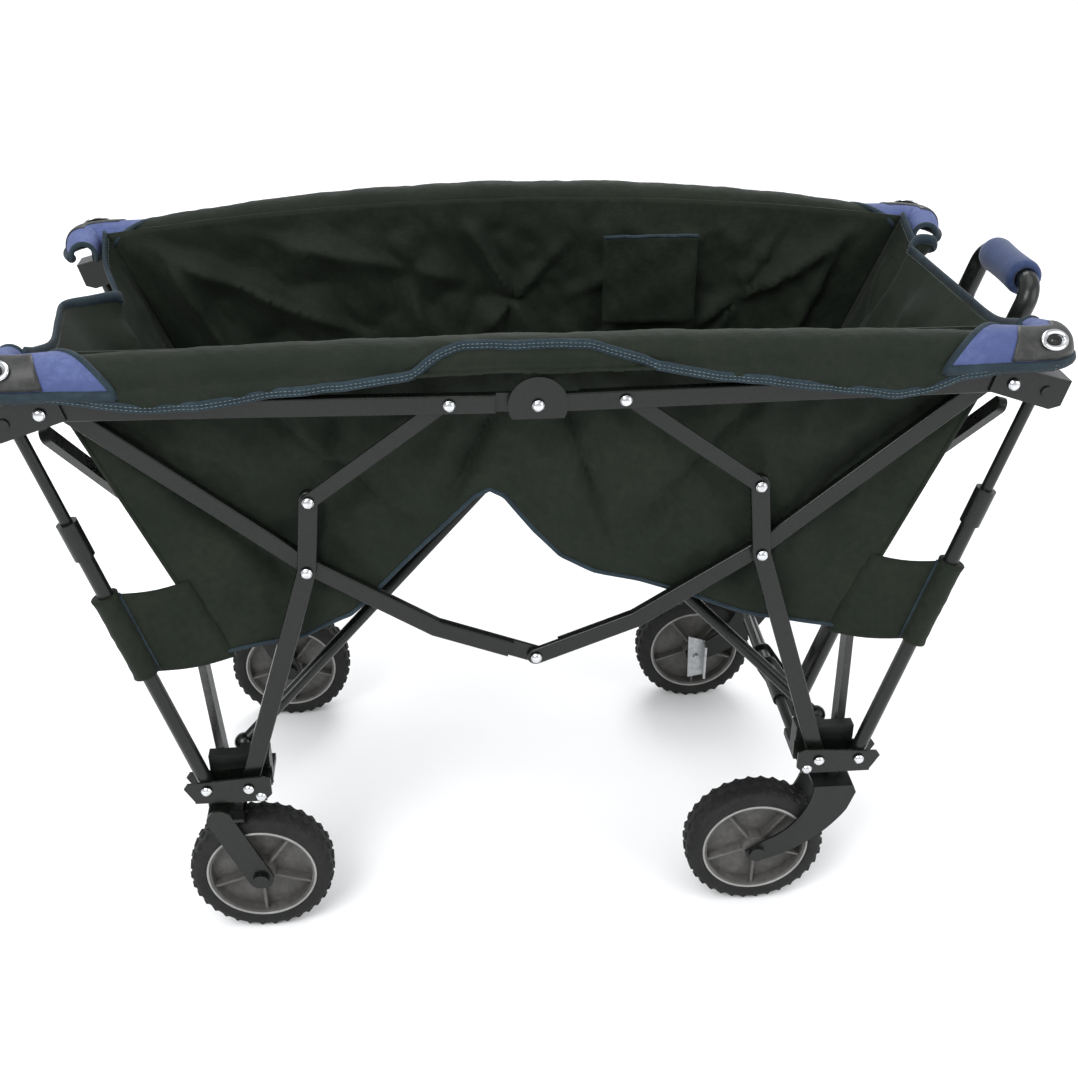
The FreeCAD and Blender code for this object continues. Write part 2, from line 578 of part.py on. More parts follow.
def make_caster_fork(name, sy):
    """A front caster fork: curved arms trailing from a hood under the swivel."""
    centre, y = axle_centre(1), sy * size("wheel_plane")
    low = size("hub_z") - size("hub_tall") / 2 + 4 - PLATE
    hood_z = 2 * size("wheel_radius") + 6
    swivel = size("swivel_x")
    top_back, top_front = V(swivel - 26, hood_z + 6, 0), V(swivel + 18, hood_z + 6, 0)
    nose, chin = V(swivel + 22, hood_z - 4, 0), V(swivel + 14, hood_z - 28, 0)
    under = V(centre.x + 44, centre.z + 4, 0)
    tip_low, tip_back = V(centre.x + 2, centre.z - 13, 0), V(centre.x - 13, centre.z + 2, 0)
    upper = V(centre.x + 8, centre.z + 16, 0)
    mid_up = V(centre.x + 42, centre.z + 44, 0)
    edges = [Part.LineSegment(top_back, top_front), Part.LineSegment(top_front, nose), Part.LineSegment(nose, chin),
             Part.Arc(chin, under, tip_low), Part.Arc(tip_low, V(centre.x - 9, centre.z - 9, 0), tip_back),
             Part.LineSegment(tip_back, upper), Part.Arc(upper, mid_up, top_back)]
    reach = fork_sides()
    arms = [flat_piece("CasterArm", edges, "fork_deep", y + way * reach) for way in (-1, 1)]
    width = 2 * reach + size("fork_deep")
    hood = box("CasterHood", [44.0, width, 4.0], V(swivel - 26, y - width / 2, hood_z + 2))
    nose_plate = box("CasterNose", [4.0, width, 14.0], V(swivel + 14, y - width / 2, hood_z - 8))
    stem = cylinder("CasterStem", "9", "%g" % (low - 0.5 - hood_z - 6), V(swivel, y, hood_z + 6), V(0, 0, 1))
    fork = with_axle_hole(fuse("CasterBody", arms + [hood, nose_plate, stem]), centre, y)
    subpart("fork_" + name, [fork, make_axle(centre, y)])


def make_brake(sy):
    """The zinc brake plate on the inner side of a caster, turning about the axle's inner nut."""
    centre = axle_centre(1)
    y = sy * (size("wheel_plane") - fork_sides() - size("fork_deep") / 2 - NUT_TALL - 2 * FACE - PLATE / 2)
    points = [V(centre.x - 10, centre.z - 34, 0), V(centre.x + 10, centre.z - 30, 0), V(centre.x + 12, centre.z + 26, 0),
              V(centre.x - 12, centre.z + 34, 0)]
    plate = flat_piece("BrakePlate", outline(points), "plate_deep", y)
    lip = box("BrakeLip", [3.0, 16.0, 52.0], V(centre.x + 9, min(y, y - sy * 16), centre.z - 28))
    screw = cylinder("BrakeScrew", "4", "6", V(centre.x, y + sy * 1.35, centre.z), V(0, -sy, 0))
    tool = cylinder("BrakeHole", "4", "30", V(centre.x, y - 15, centre.z), V(0, 1, 0))
    drilled = cut("BrakeDrilled", fuse("BrakeBody", [plate, lip]), tool)
    subpart("brake_plate_left", [drilled, screw])


def make_end_bar(end, side, sx, sy):
    """An end bar: from its own side's hub casting across to the other side's bracket."""
    up, out = post_frame(sx)
    low = at(HUB_POST, sx, 0) + up * 18
    deep = size("end_bar_deep")
    depth = size("end_bar_in") + deep / 2 + (deep + 1 if sy < 0 else 0)
    start = low - out * depth + V(0, sy * size("end_bar_y"), 0)
    stop = low - out * depth + V(0, -sy * size("end_bar_y"), 0) + up * size("end_bar_up")
    along = (stop - start).normalize()
    length = (stop - start).Length
    bar = box("EndBar", [length, "Sizes.end_bar_tall", "Sizes.end_bar_deep"], V(0, 0, 0))
    across = out.cross(along)
    turn = FreeCAD.Rotation(along, across, out, "XYZ")
    corner = start - across * size("end_bar_tall") / 2 - out * deep / 2
    bar.Placement = FreeCAD.Placement(corner, turn)
    ends = [cylinder("EndBarEnd", "Sizes.end_bar_tall / 2", "Sizes.end_bar_deep", point - out * deep / 2, out)
            for point in (start, stop)]
    subpart("end_bar_%s_%s" % (end, side), [fuse("EndBarRounded", [bar] + ends)])


def make_floor_bar(name, sx, sy):
    """A round bar from the hub casting up to the middle hub under the floor."""
    low = V(sx * size("floor_low_x"), sy * size("floor_low_y"), size("floor_low_z"))
    top = V(sx * size("floor_top_x"), sy * size("floor_top_y"), size("floor_top_z"))
    along = (top - low).normalize()
    bar = cylinder("FloorBar", "Sizes.floor_bar_radius", "%g" % ((top - low).Length - 2), low + along * 1, along)
    ball = doc.addObject("Part::Sphere", "FloorBarBall")
    ball.Radius = size("floor_bar_radius") + BALL_ROOM - FACE
    ball.Placement = FreeCAD.Placement(low, FreeCAD.Rotation())
    subpart("floor_bar_" + name, [fuse("FloorBarEnded", [bar, ball])])


def make_middle_hub():
    """The raised hub under the middle of the bag's floor, which carries the four floor bars."""
    top = size("floor_top_z")
    run = math.hypot(size("floor_low_x") - size("floor_top_x"), size("floor_low_y") - size("floor_top_y"))
    slope = math.atan2(top - size("floor_low_z"), run)
    lift = size("floor_bar_radius") * math.cos(slope) - math.sin(slope) + FACE
    plate = box("MiddlePlate", [2 * size("floor_top_x") + 20, 2 * size("floor_top_y") + 20, 6.0],
                V(-size("floor_top_x") - 10, -size("floor_top_y") - 10, top + lift))
    pad = box("MiddlePad", [60.0, 50.0, 8.0], V(-30.0, -25.0, top + lift + 6.0))
    core = box("MiddleCore", [30.0, 18.0, 24.0], V(-15.0, -9.0, top + lift - 24.0))
    subpart("middle_hub", [fuse("MiddleHub", [plate, pad, core])])


def handle_frame():
    """The handle's pivot and the unit vector along the stored handle."""
    lean = math.radians(size("handle_lean"))
    return V(size("handle_low_x"), 0, size("handle_low_z")), V(math.sin(lean), 0, math.cos(lean))


def make_handle_mount():
    """The sleeve of the front cross bar, and the two cheeks on it that hold the handle's pivot."""
    pivot, _ = handle_frame()
    sleeve_half = 86.0
    x, z = size("cross_bar_x"), size("cross_bar_z")
    outside = cylinder("Sleeve", "Sizes.cross_sleeve_radius", "%g" % (2 * sleeve_half), V(x, -sleeve_half, z), V(0, 1, 0))
    bore = cylinder("SleeveBore", "Sizes.cross_rod_radius + Sizes.pin_clear", "%g" % (2 * sleeve_half + 2),
                    V(x, -sleeve_half - 1, z), V(0, 1, 0))
    subpart("handle_mount", [cut("MountBored", outside, bore)])
    gap = size("handle_radius") + 1.0 + PLATE / 2
    cheeks = [flat_piece("Cheek", rounded_path([V(x, z, 0), V(pivot.x, pivot.z, 0)], 13.0), "plate_deep", way * gap)
              for way in (-1, 1)]
    round_hole = cylinder("CheekHole", "Sizes.cross_sleeve_radius + Sizes.pin_clear", "60", V(x, -30, z), V(0, 1, 0))
    hole = cylinder("PivotHole", "Sizes.pin_radius + Sizes.pin_clear", "60", pivot - V(0, 30, 0), V(0, 1, 0))
    reach = gap + PLATE / 2 + 0.1
    pin = rivet(pivot, 1, 1, -reach, reach)
    subpart("handle_cheeks", [cut("CheeksBored", cut("CheeksDrilled", fuse("Cheeks", cheeks), round_hole), hole), pin])


def make_handle():
    """The handle: a lower tube on the pivot, an upper tube with a loop, and a foam grip."""
    pivot, along = handle_frame()
    foot = 14.0
    tube = cylinder("HandleTube", "Sizes.handle_radius", "Sizes.handle_split + %g" % foot, pivot - along * foot, along)
    start = pivot + along * (size("handle_split") - size("handle_insert") - 5)
    bore = cylinder("HandleBore", "Sizes.shaft_radius + Sizes.pin_clear", "Sizes.handle_insert + 40", start, along)
    hole = cylinder("HandleHole", "Sizes.pin_radius + Sizes.pin_clear", "60", pivot - V(0, 30, 0), V(0, 1, 0))
    subpart("handle_tube", [cut("HandleLower", cut("HandleBored", tube, bore), hole)])
    make_handle_loop(pivot, along)


def make_handle_loop(pivot, along):
    """The upper tube and the D-shaped loop, swept along a rounded path, with the foam on its top run."""
    half, tall, radius = size("loop_half"), size("loop_tall"), size("loop_radius")
    grip = pivot + along * size("grip_along")
    base = grip - along * tall
    side = V(0, 1, 0)
    bend = 20.0
    corners = [base - side * 8, base - side * half, grip - side * half, grip + side * half, base + side * half,
               base + side * 8]
    corners[1] = base - side * half + along * 22
    corners[4] = base + side * half + along * 22
    path = bent_wire(corners, bend)
    tube = Part.Wire(path).makePipeShell([Part.Wire([Part.Circle(corners[0], (corners[1] - corners[0]), radius).toShape()])],
                                         True, True)
    stem_start = pivot + along * (size("handle_split") - size("handle_insert"))
    stem_long = (base - stem_start).Length + radius
    stem = Part.makeCylinder(size("shaft_radius"), stem_long, stem_start, along)
    foam_half = size("grip_half")
    grip_bore = Part.makeCylinder(radius + 2 * size("pin_clear"), 2 * foam_half + 2, grip - side * (foam_half + 1), side)
    shape = tube.fuse(stem).removeSplitter()
    loop = doc.addObject("Part::Feature", "HandleLoop")
    loop.Shape = shape
    subpart("handle_loop", [loop])
    foam = Part.makeCylinder(size("grip_radius"), 2 * foam_half, grip - side * foam_half, side)
    sleeve = doc.addObject("Part::Feature", "GripFoam")
    sleeve.Shape = foam.cut(grip_bore)
    subpart("handle_grip", [sleeve])


def bent_wire(points, radius):
    """Straight runs joined by tangent arcs of one radius, limited by the runs beside each point."""
    edges, start = [], points[0]
    for before, corner, after in zip(points, points[1:], points[2:]):
        arriving = (corner - before).normalize()
        leaving = (after - corner).normalize()
        half_turn = arriving.getAngle(leaving) / 2
        limit = 0.45 * min((corner - before).Length, (after - corner).Length) / math.tan(half_turn)
        arc = min(radius, limit)
        back = arc * math.tan(half_turn)
        first, last = corner - arriving * back, corner + leaving * back
        middle = corner + (leaving - arriving).normalize() * (arc / math.cos(half_turn) - arc)
        edges += [Part.LineSegment(start, first).toShape(), Part.Arc(first, middle, last).toShape()]
        start = last
    edges.append(Part.LineSegment(start, points[-1]).toShape())
    return edges


def bag_profile(inset):
    """The bag's side view as a closed polygon, drawn in by a wall thickness, open at the top if inset."""
    top = size("bag_top_z") + (1 if inset else 0)
    right = [V(size("bag_top_x") - inset, 0, top), V(size("bag_low_x") - inset, 0, size("bag_low_z") + inset),
             V(size("bag_step_x"), 0, size("bag_step_z") + inset), V(size("bag_mid_x"), 0, size("bag_mid_z") + inset)]
    left = [V(-p.x, 0, p.z) for p in right[::-1]]
    points = right + left
    return Part.Face(Part.makePolygon(points + points[:1]))


def make_bag():
    """The fabric bag as one thin closed solid: sloping ends, a raised floor and rolled side rims."""
    half, skin = size("bag_half_wide"), size("bag_skin")
    outside = bag_profile(0).extrude(V(0, 2 * half, 0))
    outside.translate(V(0, -half, 0))
    inside = bag_profile(skin).extrude(V(0, 2 * (half - skin), 0))
    inside.translate(V(0, -half + skin, 0))
    roll_deep = size("roll_out") - half + 0.5
    roll_long = 2 * size("bag_top_x")
    rolls = [Part.makeBox(roll_long, roll_deep, size("bag_top_z") - size("roll_low_z"),
                          V(-size("bag_top_x"), y, size("roll_low_z"))) for y in (half - 0.5, -size("roll_out"))]
    shape = outside.cut(inside).multiFuse(rolls).removeSplitter()
    bag = doc.addObject("Part::Feature", "Bag")
    bag.Shape = shape
    subpart("bag", [bag])


for end, sx in ENDS:
    for side, sy in SIDES:
        make_rail(end, side, sx, sy)
        make_link(end, side, sx, sy)
        make_diagonal(end, side, sx, sy)
        make_end_bar(end, side, sx, sy)
for name, sx, sy in CORNERS:
    make_leg(name, sx, sy)
    make_post(name, sx, sy)
    make_bracket(name, sx, sy)
    make_hub(name, sx, sy)
    make_wheel(name, sx, sy)
    make_floor_bar(name, sx, sy)
    if sx < 0:
        make_rear_fork(name, sy)
    else:
        make_caster_fork(name, sy)
make_brake(1)
make_middle_hub()
make_handle_mount()
make_handle()
make_bag()
doc.recompute()

for item in doc.Objects:
    if "Invalid" in item.State or "Error" in item.State:
        raise RuntimeError("failed object: " + item.Name + " " + str(item.State))
os.makedirs("parts", exist_ok=True)
for item in SUBPARTS:
    shape = item.Shape
    if shape.isNull() or not shape.isValid() or not shape.Solids:
        raise RuntimeError("bad shape: " + item.Label)
    shape.exportStep(os.path.join("parts", item.Label + ".step"))
print(len(SUBPARTS), "sub-parts")
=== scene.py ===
# %% [markdown]
# # A folding wagon with a pull handle
#
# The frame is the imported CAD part: steel bars, posts, hubs, forks, wheels and handle.
# Here it gets its finishes, and the pieces that CAD only stands in for are built over it:
# the sewn bag, its rolled rims and corner patches, the tyre tread, the domed rivets and the foam grip.
# All lengths are in metres, +X is the handle end, +Y the wagon's left and +Z up.

# %% Load the frame
import json
import math

import bmesh
import bpy
import numpy as np
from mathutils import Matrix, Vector


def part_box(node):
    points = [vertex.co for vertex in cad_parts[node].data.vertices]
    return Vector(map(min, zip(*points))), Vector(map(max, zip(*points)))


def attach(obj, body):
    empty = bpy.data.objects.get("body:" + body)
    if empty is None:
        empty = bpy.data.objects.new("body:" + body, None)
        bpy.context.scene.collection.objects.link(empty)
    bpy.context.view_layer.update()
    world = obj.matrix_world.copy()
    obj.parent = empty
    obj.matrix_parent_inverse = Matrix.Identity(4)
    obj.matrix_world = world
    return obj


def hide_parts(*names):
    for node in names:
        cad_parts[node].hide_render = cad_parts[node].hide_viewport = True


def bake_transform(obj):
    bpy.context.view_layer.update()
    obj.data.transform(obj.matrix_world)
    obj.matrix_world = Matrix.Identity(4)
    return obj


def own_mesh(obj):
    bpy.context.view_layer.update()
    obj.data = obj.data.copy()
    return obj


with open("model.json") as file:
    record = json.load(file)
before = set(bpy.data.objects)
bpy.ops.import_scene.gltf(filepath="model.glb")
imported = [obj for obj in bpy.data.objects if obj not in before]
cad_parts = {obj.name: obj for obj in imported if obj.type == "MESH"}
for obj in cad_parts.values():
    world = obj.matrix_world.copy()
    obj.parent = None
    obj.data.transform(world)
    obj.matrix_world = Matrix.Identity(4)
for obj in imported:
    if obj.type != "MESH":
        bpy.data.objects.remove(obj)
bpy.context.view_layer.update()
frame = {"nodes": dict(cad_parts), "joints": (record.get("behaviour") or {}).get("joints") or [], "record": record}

# %% [markdown]
# ## Small helpers
# A mesh from points and faces, a grid between rows of points, and smooth curves through a few points.

# %% Mesh helpers
def make_mesh(name, points, faces, material, smooth=True):
    """A mesh object at the origin, with its points in the frame's own metres."""
    mesh = bpy.data.meshes.new(name)
    mesh.from_pydata([tuple(map(float, p)) for p in points], [], faces)
    mesh.validate()
    for polygon in mesh.polygons:
        polygon.use_smooth = smooth
    mesh.materials.append(material)
    made = bpy.data.objects.new(name, mesh)
    bpy.context.scene.collection.objects.link(made)
    return made


def grid_faces(rows, columns, around=False):
    """Quads of a grid of rows x columns points. around joins the last column to the first."""
    faces = []
    last = columns if around else columns - 1
    for r in range(rows - 1):
        for c in range(last):
            a, b = r * columns + c, r * columns + (c + 1) % columns
            faces.append((a, b, b + columns, a + columns))
    return faces


def grid_mesh(name, points, material, merge=0.0006):
    """A mesh of one grid of points, rows x columns x 3, with points that meet joined."""
    rows, columns, _ = points.shape
    made = make_mesh(name, list(points.reshape(-1, 3)), grid_faces(rows, columns), material)
    work = bmesh.new()
    work.from_mesh(made.data)
    bmesh.ops.remove_doubles(work, verts=work.verts, dist=merge)
    bmesh.ops.recalc_face_normals(work, faces=work.faces)
    work.to_mesh(made.data)
    work.free()
    return made


def smooth_line(points, count):
    """A smooth line through the points, sampled evenly along its length."""
    points = np.array(points, float)
    ends = np.vstack([2 * points[0] - points[1], points, 2 * points[-1] - points[-2]])
    fine = []
    for i in range(len(points) - 1):
        a, b, c, d = ends[i:i + 4]
        for t in np.linspace(0, 1, 24, endpoint=False):
            fine.append(0.5 * (2 * b + (c - a) * t + (2 * a - 5 * b + 4 * c - d) * t * t
                               + (3 * b - a - 3 * c + d) * t ** 3))
    fine.append(points[-1])
    fine = np.array(fine)
    run = np.concatenate([[0], np.cumsum(np.linalg.norm(np.diff(fine, axis=0), axis=1))])
    wanted = np.linspace(0, run[-1], count)
    return np.stack([np.interp(wanted, run, fine[:, k]) for k in range(fine.shape[1])], axis=1)


def tube(name, line, radii, material, up=(0, 0, 1), sides=12, squeeze=1.0):
    """A closed tube along a line. radii is one number or one per point; squeeze flattens it along up."""
    line = np.array(line, float)
    radii = np.broadcast_to(np.array(radii, float), len(line))
    along = np.gradient(line, axis=0)
    along /= np.linalg.norm(along, axis=1)[:, None]
    side = np.cross(along, np.array(up, float))
    side /= np.maximum(np.linalg.norm(side, axis=1), 1e-9)[:, None]
    top = np.cross(side, along)
    points = []
    for p, r, s, t in zip(line, radii, side, top):
        for k in range(sides):
            a = 2 * math.pi * k / sides
            points.append(p + r * (math.cos(a) * s + squeeze * math.sin(a) * t))
    faces = grid_faces(len(line), sides, around=True)
    faces = [tuple(reversed(f)) for f in faces]
    faces.append(tuple(range(sides)))
    faces.append(tuple(reversed(range((len(line) - 1) * sides, len(line) * sides))))
    return make_mesh(name, points, faces, material)


def thick_cloth(name, points, material, thickness):
    """A grid of points as cloth with a thickness. Gives the piece and the area of its one side."""
    made = grid_mesh(name, points, material)
    area = sum(p.area for p in made.data.polygons)
    solidify = made.modifiers.new("Solidify", "SOLIDIFY")
    solidify.thickness, solidify.offset = thickness, 0
    return apply_all(made), area


def noise(a, b, seed=1.0):
    """A smooth, repeatable unevenness between about -1 and 1, for folds in cloth."""
    return (np.sin(3.1 * a + 1.7 * b + seed) + np.sin(-2.3 * a + 4.1 * b + 2.1 * seed)
            + np.sin(5.7 * a - 1.3 * b + 3.3 * seed) + 0.5 * np.sin(9.1 * a + 7.3 * b + 4.7 * seed)) / 3.5


def apply_all(piece):
    """The piece's mesh with its modifiers applied, and no modifier left."""
    depsgraph = bpy.context.evaluated_depsgraph_get()
    depsgraph.update()
    mesh = bpy.data.meshes.new_from_object(piece.evaluated_get(depsgraph), depsgraph=depsgraph)
    piece.modifiers.clear()
    piece.data = mesh
    return piece

# %% [markdown]
# ## Shader groups
# Three effects are shared by the finishes: a woven bump, a fine grain, and the unevenness of use.

# %% Shader groups
def shader_group(name, inputs, outputs):
    group = bpy.data.node_groups.new(name, "ShaderNodeTree")
    for label, kind, value in inputs:
        socket = group.interface.new_socket(name=label, in_out="INPUT", socket_type=kind)
        if value is not None:
            socket.default_value = value
    for label, kind in outputs:
        group.interface.new_socket(name=label, in_out="OUTPUT", socket_type=kind)
    return group, group.nodes.new("NodeGroupInput"), group.nodes.new("NodeGroupOutput")


def node(tree, kind, **values):
    made = tree.nodes.new(kind)
    for key, value in values.items():
        if hasattr(made, key):
            setattr(made, key, value)
        else:
            made.inputs[key].default_value = value
    return made


def weave_group():
    """Crossing threads as a bump, with a slow wrinkle under them."""
    group, given, out = shader_group(
        "cloth_weave", [("Thread", "NodeSocketFloat", 0.0012), ("Strength", "NodeSocketFloat", 0.3),
                        ("Wrinkle", "NodeSocketFloat", 0.3)],
        [("Normal", "NodeSocketVector"), ("Shade", "NodeSocketFloat")])
    links = group.links
    where = node(group, "ShaderNodeTexCoord")
    turns = node(group, "ShaderNodeMath", operation="DIVIDE")
    turns.inputs[0].default_value = 1.0
    links.new(given.outputs["Thread"], turns.inputs[1])
    checks = []
    for direction in ("X", "Y", "Z"):
        wave = node(group, "ShaderNodeTexWave", wave_type="BANDS", bands_direction=direction)
        links.new(where.outputs["Object"], wave.inputs["Vector"])
        tenth = node(group, "ShaderNodeMath", operation="MULTIPLY")
        links.new(turns.outputs[0], tenth.inputs[0])
        tenth.inputs[1].default_value = 0.31
        links.new(tenth.outputs[0], wave.inputs["Scale"])
        checks.append(wave.outputs["Fac"])
    total = node(group, "ShaderNodeMath", operation="ADD")
    links.new(checks[0], total.inputs[0])
    links.new(checks[1], total.inputs[1])
    both = node(group, "ShaderNodeMath", operation="ADD")
    links.new(total.outputs[0], both.inputs[0])
    links.new(checks[2], both.inputs[1])
    thread_bump = node(group, "ShaderNodeBump", Distance=0.0003)
    links.new(both.outputs[0], thread_bump.inputs["Height"])
    links.new(given.outputs["Strength"], thread_bump.inputs["Strength"])
    wrinkle = node(group, "ShaderNodeTexNoise", Scale=26.0, Detail=5.0, Roughness=0.55, Distortion=0.6)
    links.new(where.outputs["Object"], wrinkle.inputs["Vector"])
    slow_bump = node(group, "ShaderNodeBump", Distance=0.006)
    links.new(wrinkle.outputs["Fac"], slow_bump.inputs["Height"])
    links.new(given.outputs["Wrinkle"], slow_bump.inputs["Strength"])
    links.new(thread_bump.outputs["Normal"], slow_bump.inputs["Normal"])
    links.new(slow_bump.outputs["Normal"], out.inputs["Normal"])
    links.new(wrinkle.outputs["Fac"], out.inputs["Shade"])
    return group


def grain_group():
    """A fine, even grain as a bump and a value, for moulded plastic, rubber and foam."""
    group, given, out = shader_group(
        "fine_grain", [("Size", "NodeSocketFloat", 600.0), ("Strength", "NodeSocketFloat", 0.2)],
        [("Normal", "NodeSocketVector"), ("Value", "NodeSocketFloat")])
    where = node(group, "ShaderNodeTexCoord")
    grain = node(group, "ShaderNodeTexNoise", Detail=3.0)
    bump = node(group, "ShaderNodeBump", Distance=0.0004)
    links = group.links
    links.new(where.outputs["Object"], grain.inputs["Vector"])
    links.new(given.outputs["Size"], grain.inputs["Scale"])
    links.new(grain.outputs["Fac"], bump.inputs["Height"])
    links.new(given.outputs["Strength"], bump.inputs["Strength"])
    links.new(bump.outputs["Normal"], out.inputs["Normal"])
    links.new(grain.outputs["Fac"], out.inputs["Value"])
    return group


def use_group():
    """Slow and fast unevenness, as one mask from 0 to 1: handling marks and light dust."""
    group, given, out = shader_group(
        "marks_of_use", [("Slow", "NodeSocketFloat", 9.0), ("Fast", "NodeSocketFloat", 140.0)],
        [("Mask", "NodeSocketFloat")])
    where = node(group, "ShaderNodeTexCoord")
    slow = node(group, "ShaderNodeTexNoise", Detail=4.0, Roughness=0.6)
    fast = node(group, "ShaderNodeTexNoise", Detail=6.0, Roughness=0.7)
    product = node(group, "ShaderNodeMath", operation="MULTIPLY")
    spread = node(group, "ShaderNodeMapRange")
    spread.inputs["From Min"].default_value = 0.18
    spread.inputs["From Max"].default_value = 0.38
    links = group.links
    for texture, name in ((slow, "Slow"), (fast, "Fast")):
        links.new(where.outputs["Object"], texture.inputs["Vector"])
        links.new(given.outputs[name], texture.inputs["Scale"])
    links.new(slow.outputs["Fac"], product.inputs[0])
    links.new(fast.outputs["Fac"], product.inputs[1])
    links.new(product.outputs[0], spread.inputs["Value"])
    links.new(spread.outputs["Result"], out.inputs["Mask"])
    return group


WEAVE, GRAIN, USE = weave_group(), grain_group(), use_group()
print("shader groups", WEAVE.name, GRAIN.name, USE.name)

# %% [markdown]
# ## Finishes
# Every finish mixes two close colours by the use mask, moves its roughness a little, and has a bump.

# %% Finishes
ROUGH_SPREAD = 0.1


def finish_of(name, dark, light, rough, bump, metal=0.0, coat=0.0, sheen=0.0, gloss=0.5,
              slow=9.0):
    """bump is ("weave", thread, strength, wrinkle) or ("grain", size, strength)."""
    material = bpy.data.materials.new(name)
    material.use_nodes = True
    tree = material.node_tree
    shader = tree.nodes["Principled BSDF"]
    use = node(tree, "ShaderNodeGroup")
    use.node_tree = USE
    use.inputs["Slow"].default_value = slow
    ramp = node(tree, "ShaderNodeValToRGB")
    ramp.color_ramp.elements[0].color = (*dark, 1)
    ramp.color_ramp.elements[1].color = (*light, 1)
    tree.links.new(use.outputs["Mask"], ramp.inputs["Fac"])
    tree.links.new(ramp.outputs["Color"], shader.inputs["Base Color"])
    spread = node(tree, "ShaderNodeMapRange")
    spread.inputs["To Min"].default_value = rough - ROUGH_SPREAD / 2
    spread.inputs["To Max"].default_value = rough + ROUGH_SPREAD / 2
    tree.links.new(use.outputs["Mask"], spread.inputs["Value"])
    tree.links.new(spread.outputs["Result"], shader.inputs["Roughness"])
    surface = node(tree, "ShaderNodeGroup")
    if bump[0] == "weave":
        surface.node_tree = WEAVE
        for label, value in zip(("Thread", "Strength", "Wrinkle"), bump[1:]):
            surface.inputs[label].default_value = value
    else:
        surface.node_tree = GRAIN
        surface.inputs["Size"].default_value = bump[1]
        surface.inputs["Strength"].default_value = bump[2]
    tree.links.new(surface.outputs["Normal"], shader.inputs["Normal"])
    shader.inputs["Metallic"].default_value = metal
    shader.inputs["Specular IOR Level"].default_value = gloss
    shader.inputs["Coat Weight"].default_value = coat
    shader.inputs["Coat Roughness"].default_value = 0.12
    shader.inputs["Sheen Weight"].default_value = sheen
    return material


PAINT = finish_of("gloss_black_paint", (0.0035, 0.0042, 0.0036), (0.0065, 0.0078, 0.0062), 0.30,
                  ("grain", 900, 0.05), coat=0.06, gloss=0.30)
PLASTIC = finish_of("black_moulding", (0.0050, 0.0056, 0.0053), (0.0095, 0.0105, 0.0095), 0.44,
                    ("grain", 1400, 0.25), gloss=0.3)
CLOTH = finish_of("bag_cloth", (0.0075, 0.0108, 0.0072), (0.0135, 0.0175, 0.0118), 0.68,
                  ("weave", 0.0012, 0.35, 0.22), sheen=0.03, gloss=0.10)
BINDING = finish_of("edge_binding", (0.011, 0.020, 0.027), (0.020, 0.034, 0.044), 0.72,
                    ("weave", 0.0016, 0.6, 0.25), sheen=0.05, gloss=0.15, slow=40)
PATCH = finish_of("corner_cloth", (0.050, 0.068, 0.165), (0.080, 0.104, 0.225), 0.62,
                  ("weave", 0.0011, 0.4, 0.3), sheen=0.05, gloss=0.12, slow=24)
LEATHER = finish_of("corner_backing", (0.016, 0.017, 0.016), (0.04, 0.041, 0.038), 0.46,
                    ("grain", 420, 0.6), gloss=0.3, slow=60)
THREAD = finish_of("sewing_thread", (0.055, 0.085, 0.092), (0.09, 0.125, 0.13), 0.6,
                   ("grain", 2500, 0.4), slow=60)
CHROME = finish_of("bright_rivet", (0.52, 0.53, 0.54), (0.68, 0.69, 0.70), 0.17, ("grain", 1500, 0.05),
                   metal=1.0, slow=60)
RUBBER = finish_of("tyre_rubber", (0.007, 0.0075, 0.0068), (0.016, 0.017, 0.0155), 0.72,
                   ("grain", 800, 0.5), gloss=0.22, slow=18)
RIM = finish_of("grey_rim", (0.062, 0.060, 0.056), (0.105, 0.102, 0.096), 0.5,
                ("grain", 1200, 0.3), gloss=0.3, slow=20)
RIM_EDGE = finish_of("pale_rim_edge", (0.20, 0.20, 0.195), (0.28, 0.28, 0.27), 0.4,
                     ("grain", 1200, 0.2), slow=20)
FOAM = finish_of("navy_foam", (0.018, 0.032, 0.085), (0.032, 0.050, 0.118), 0.82, ("grain", 1000, 0.9),
                 sheen=0.15, gloss=0.15, slow=50)
ZINC = finish_of("zinc_plate", (0.36, 0.37, 0.38), (0.55, 0.56, 0.57), 0.33, ("grain", 700, 0.15),
                 metal=1.0, slow=40)

FINISH_BY_START = (("casting", PLASTIC), ("middle_hub", PLASTIC), ("fork_front", PLASTIC), ("rim", RIM),
                   ("brake", ZINC), ("", PAINT))
for name, part in frame["nodes"].items():
    chosen = next(material for start, material in FINISH_BY_START if name.startswith(start))
    part.data.materials.clear()
    part.data.materials.append(chosen)
print("finishes on", len(frame["nodes"]), "nodes")

# %% [markdown]
# ## Repeated small pieces
# One Geometry Nodes group puts a part on every point. Each point carries the way out of the surface
# and the way along it, so tread blocks, rivets and stitches all come from the same group.

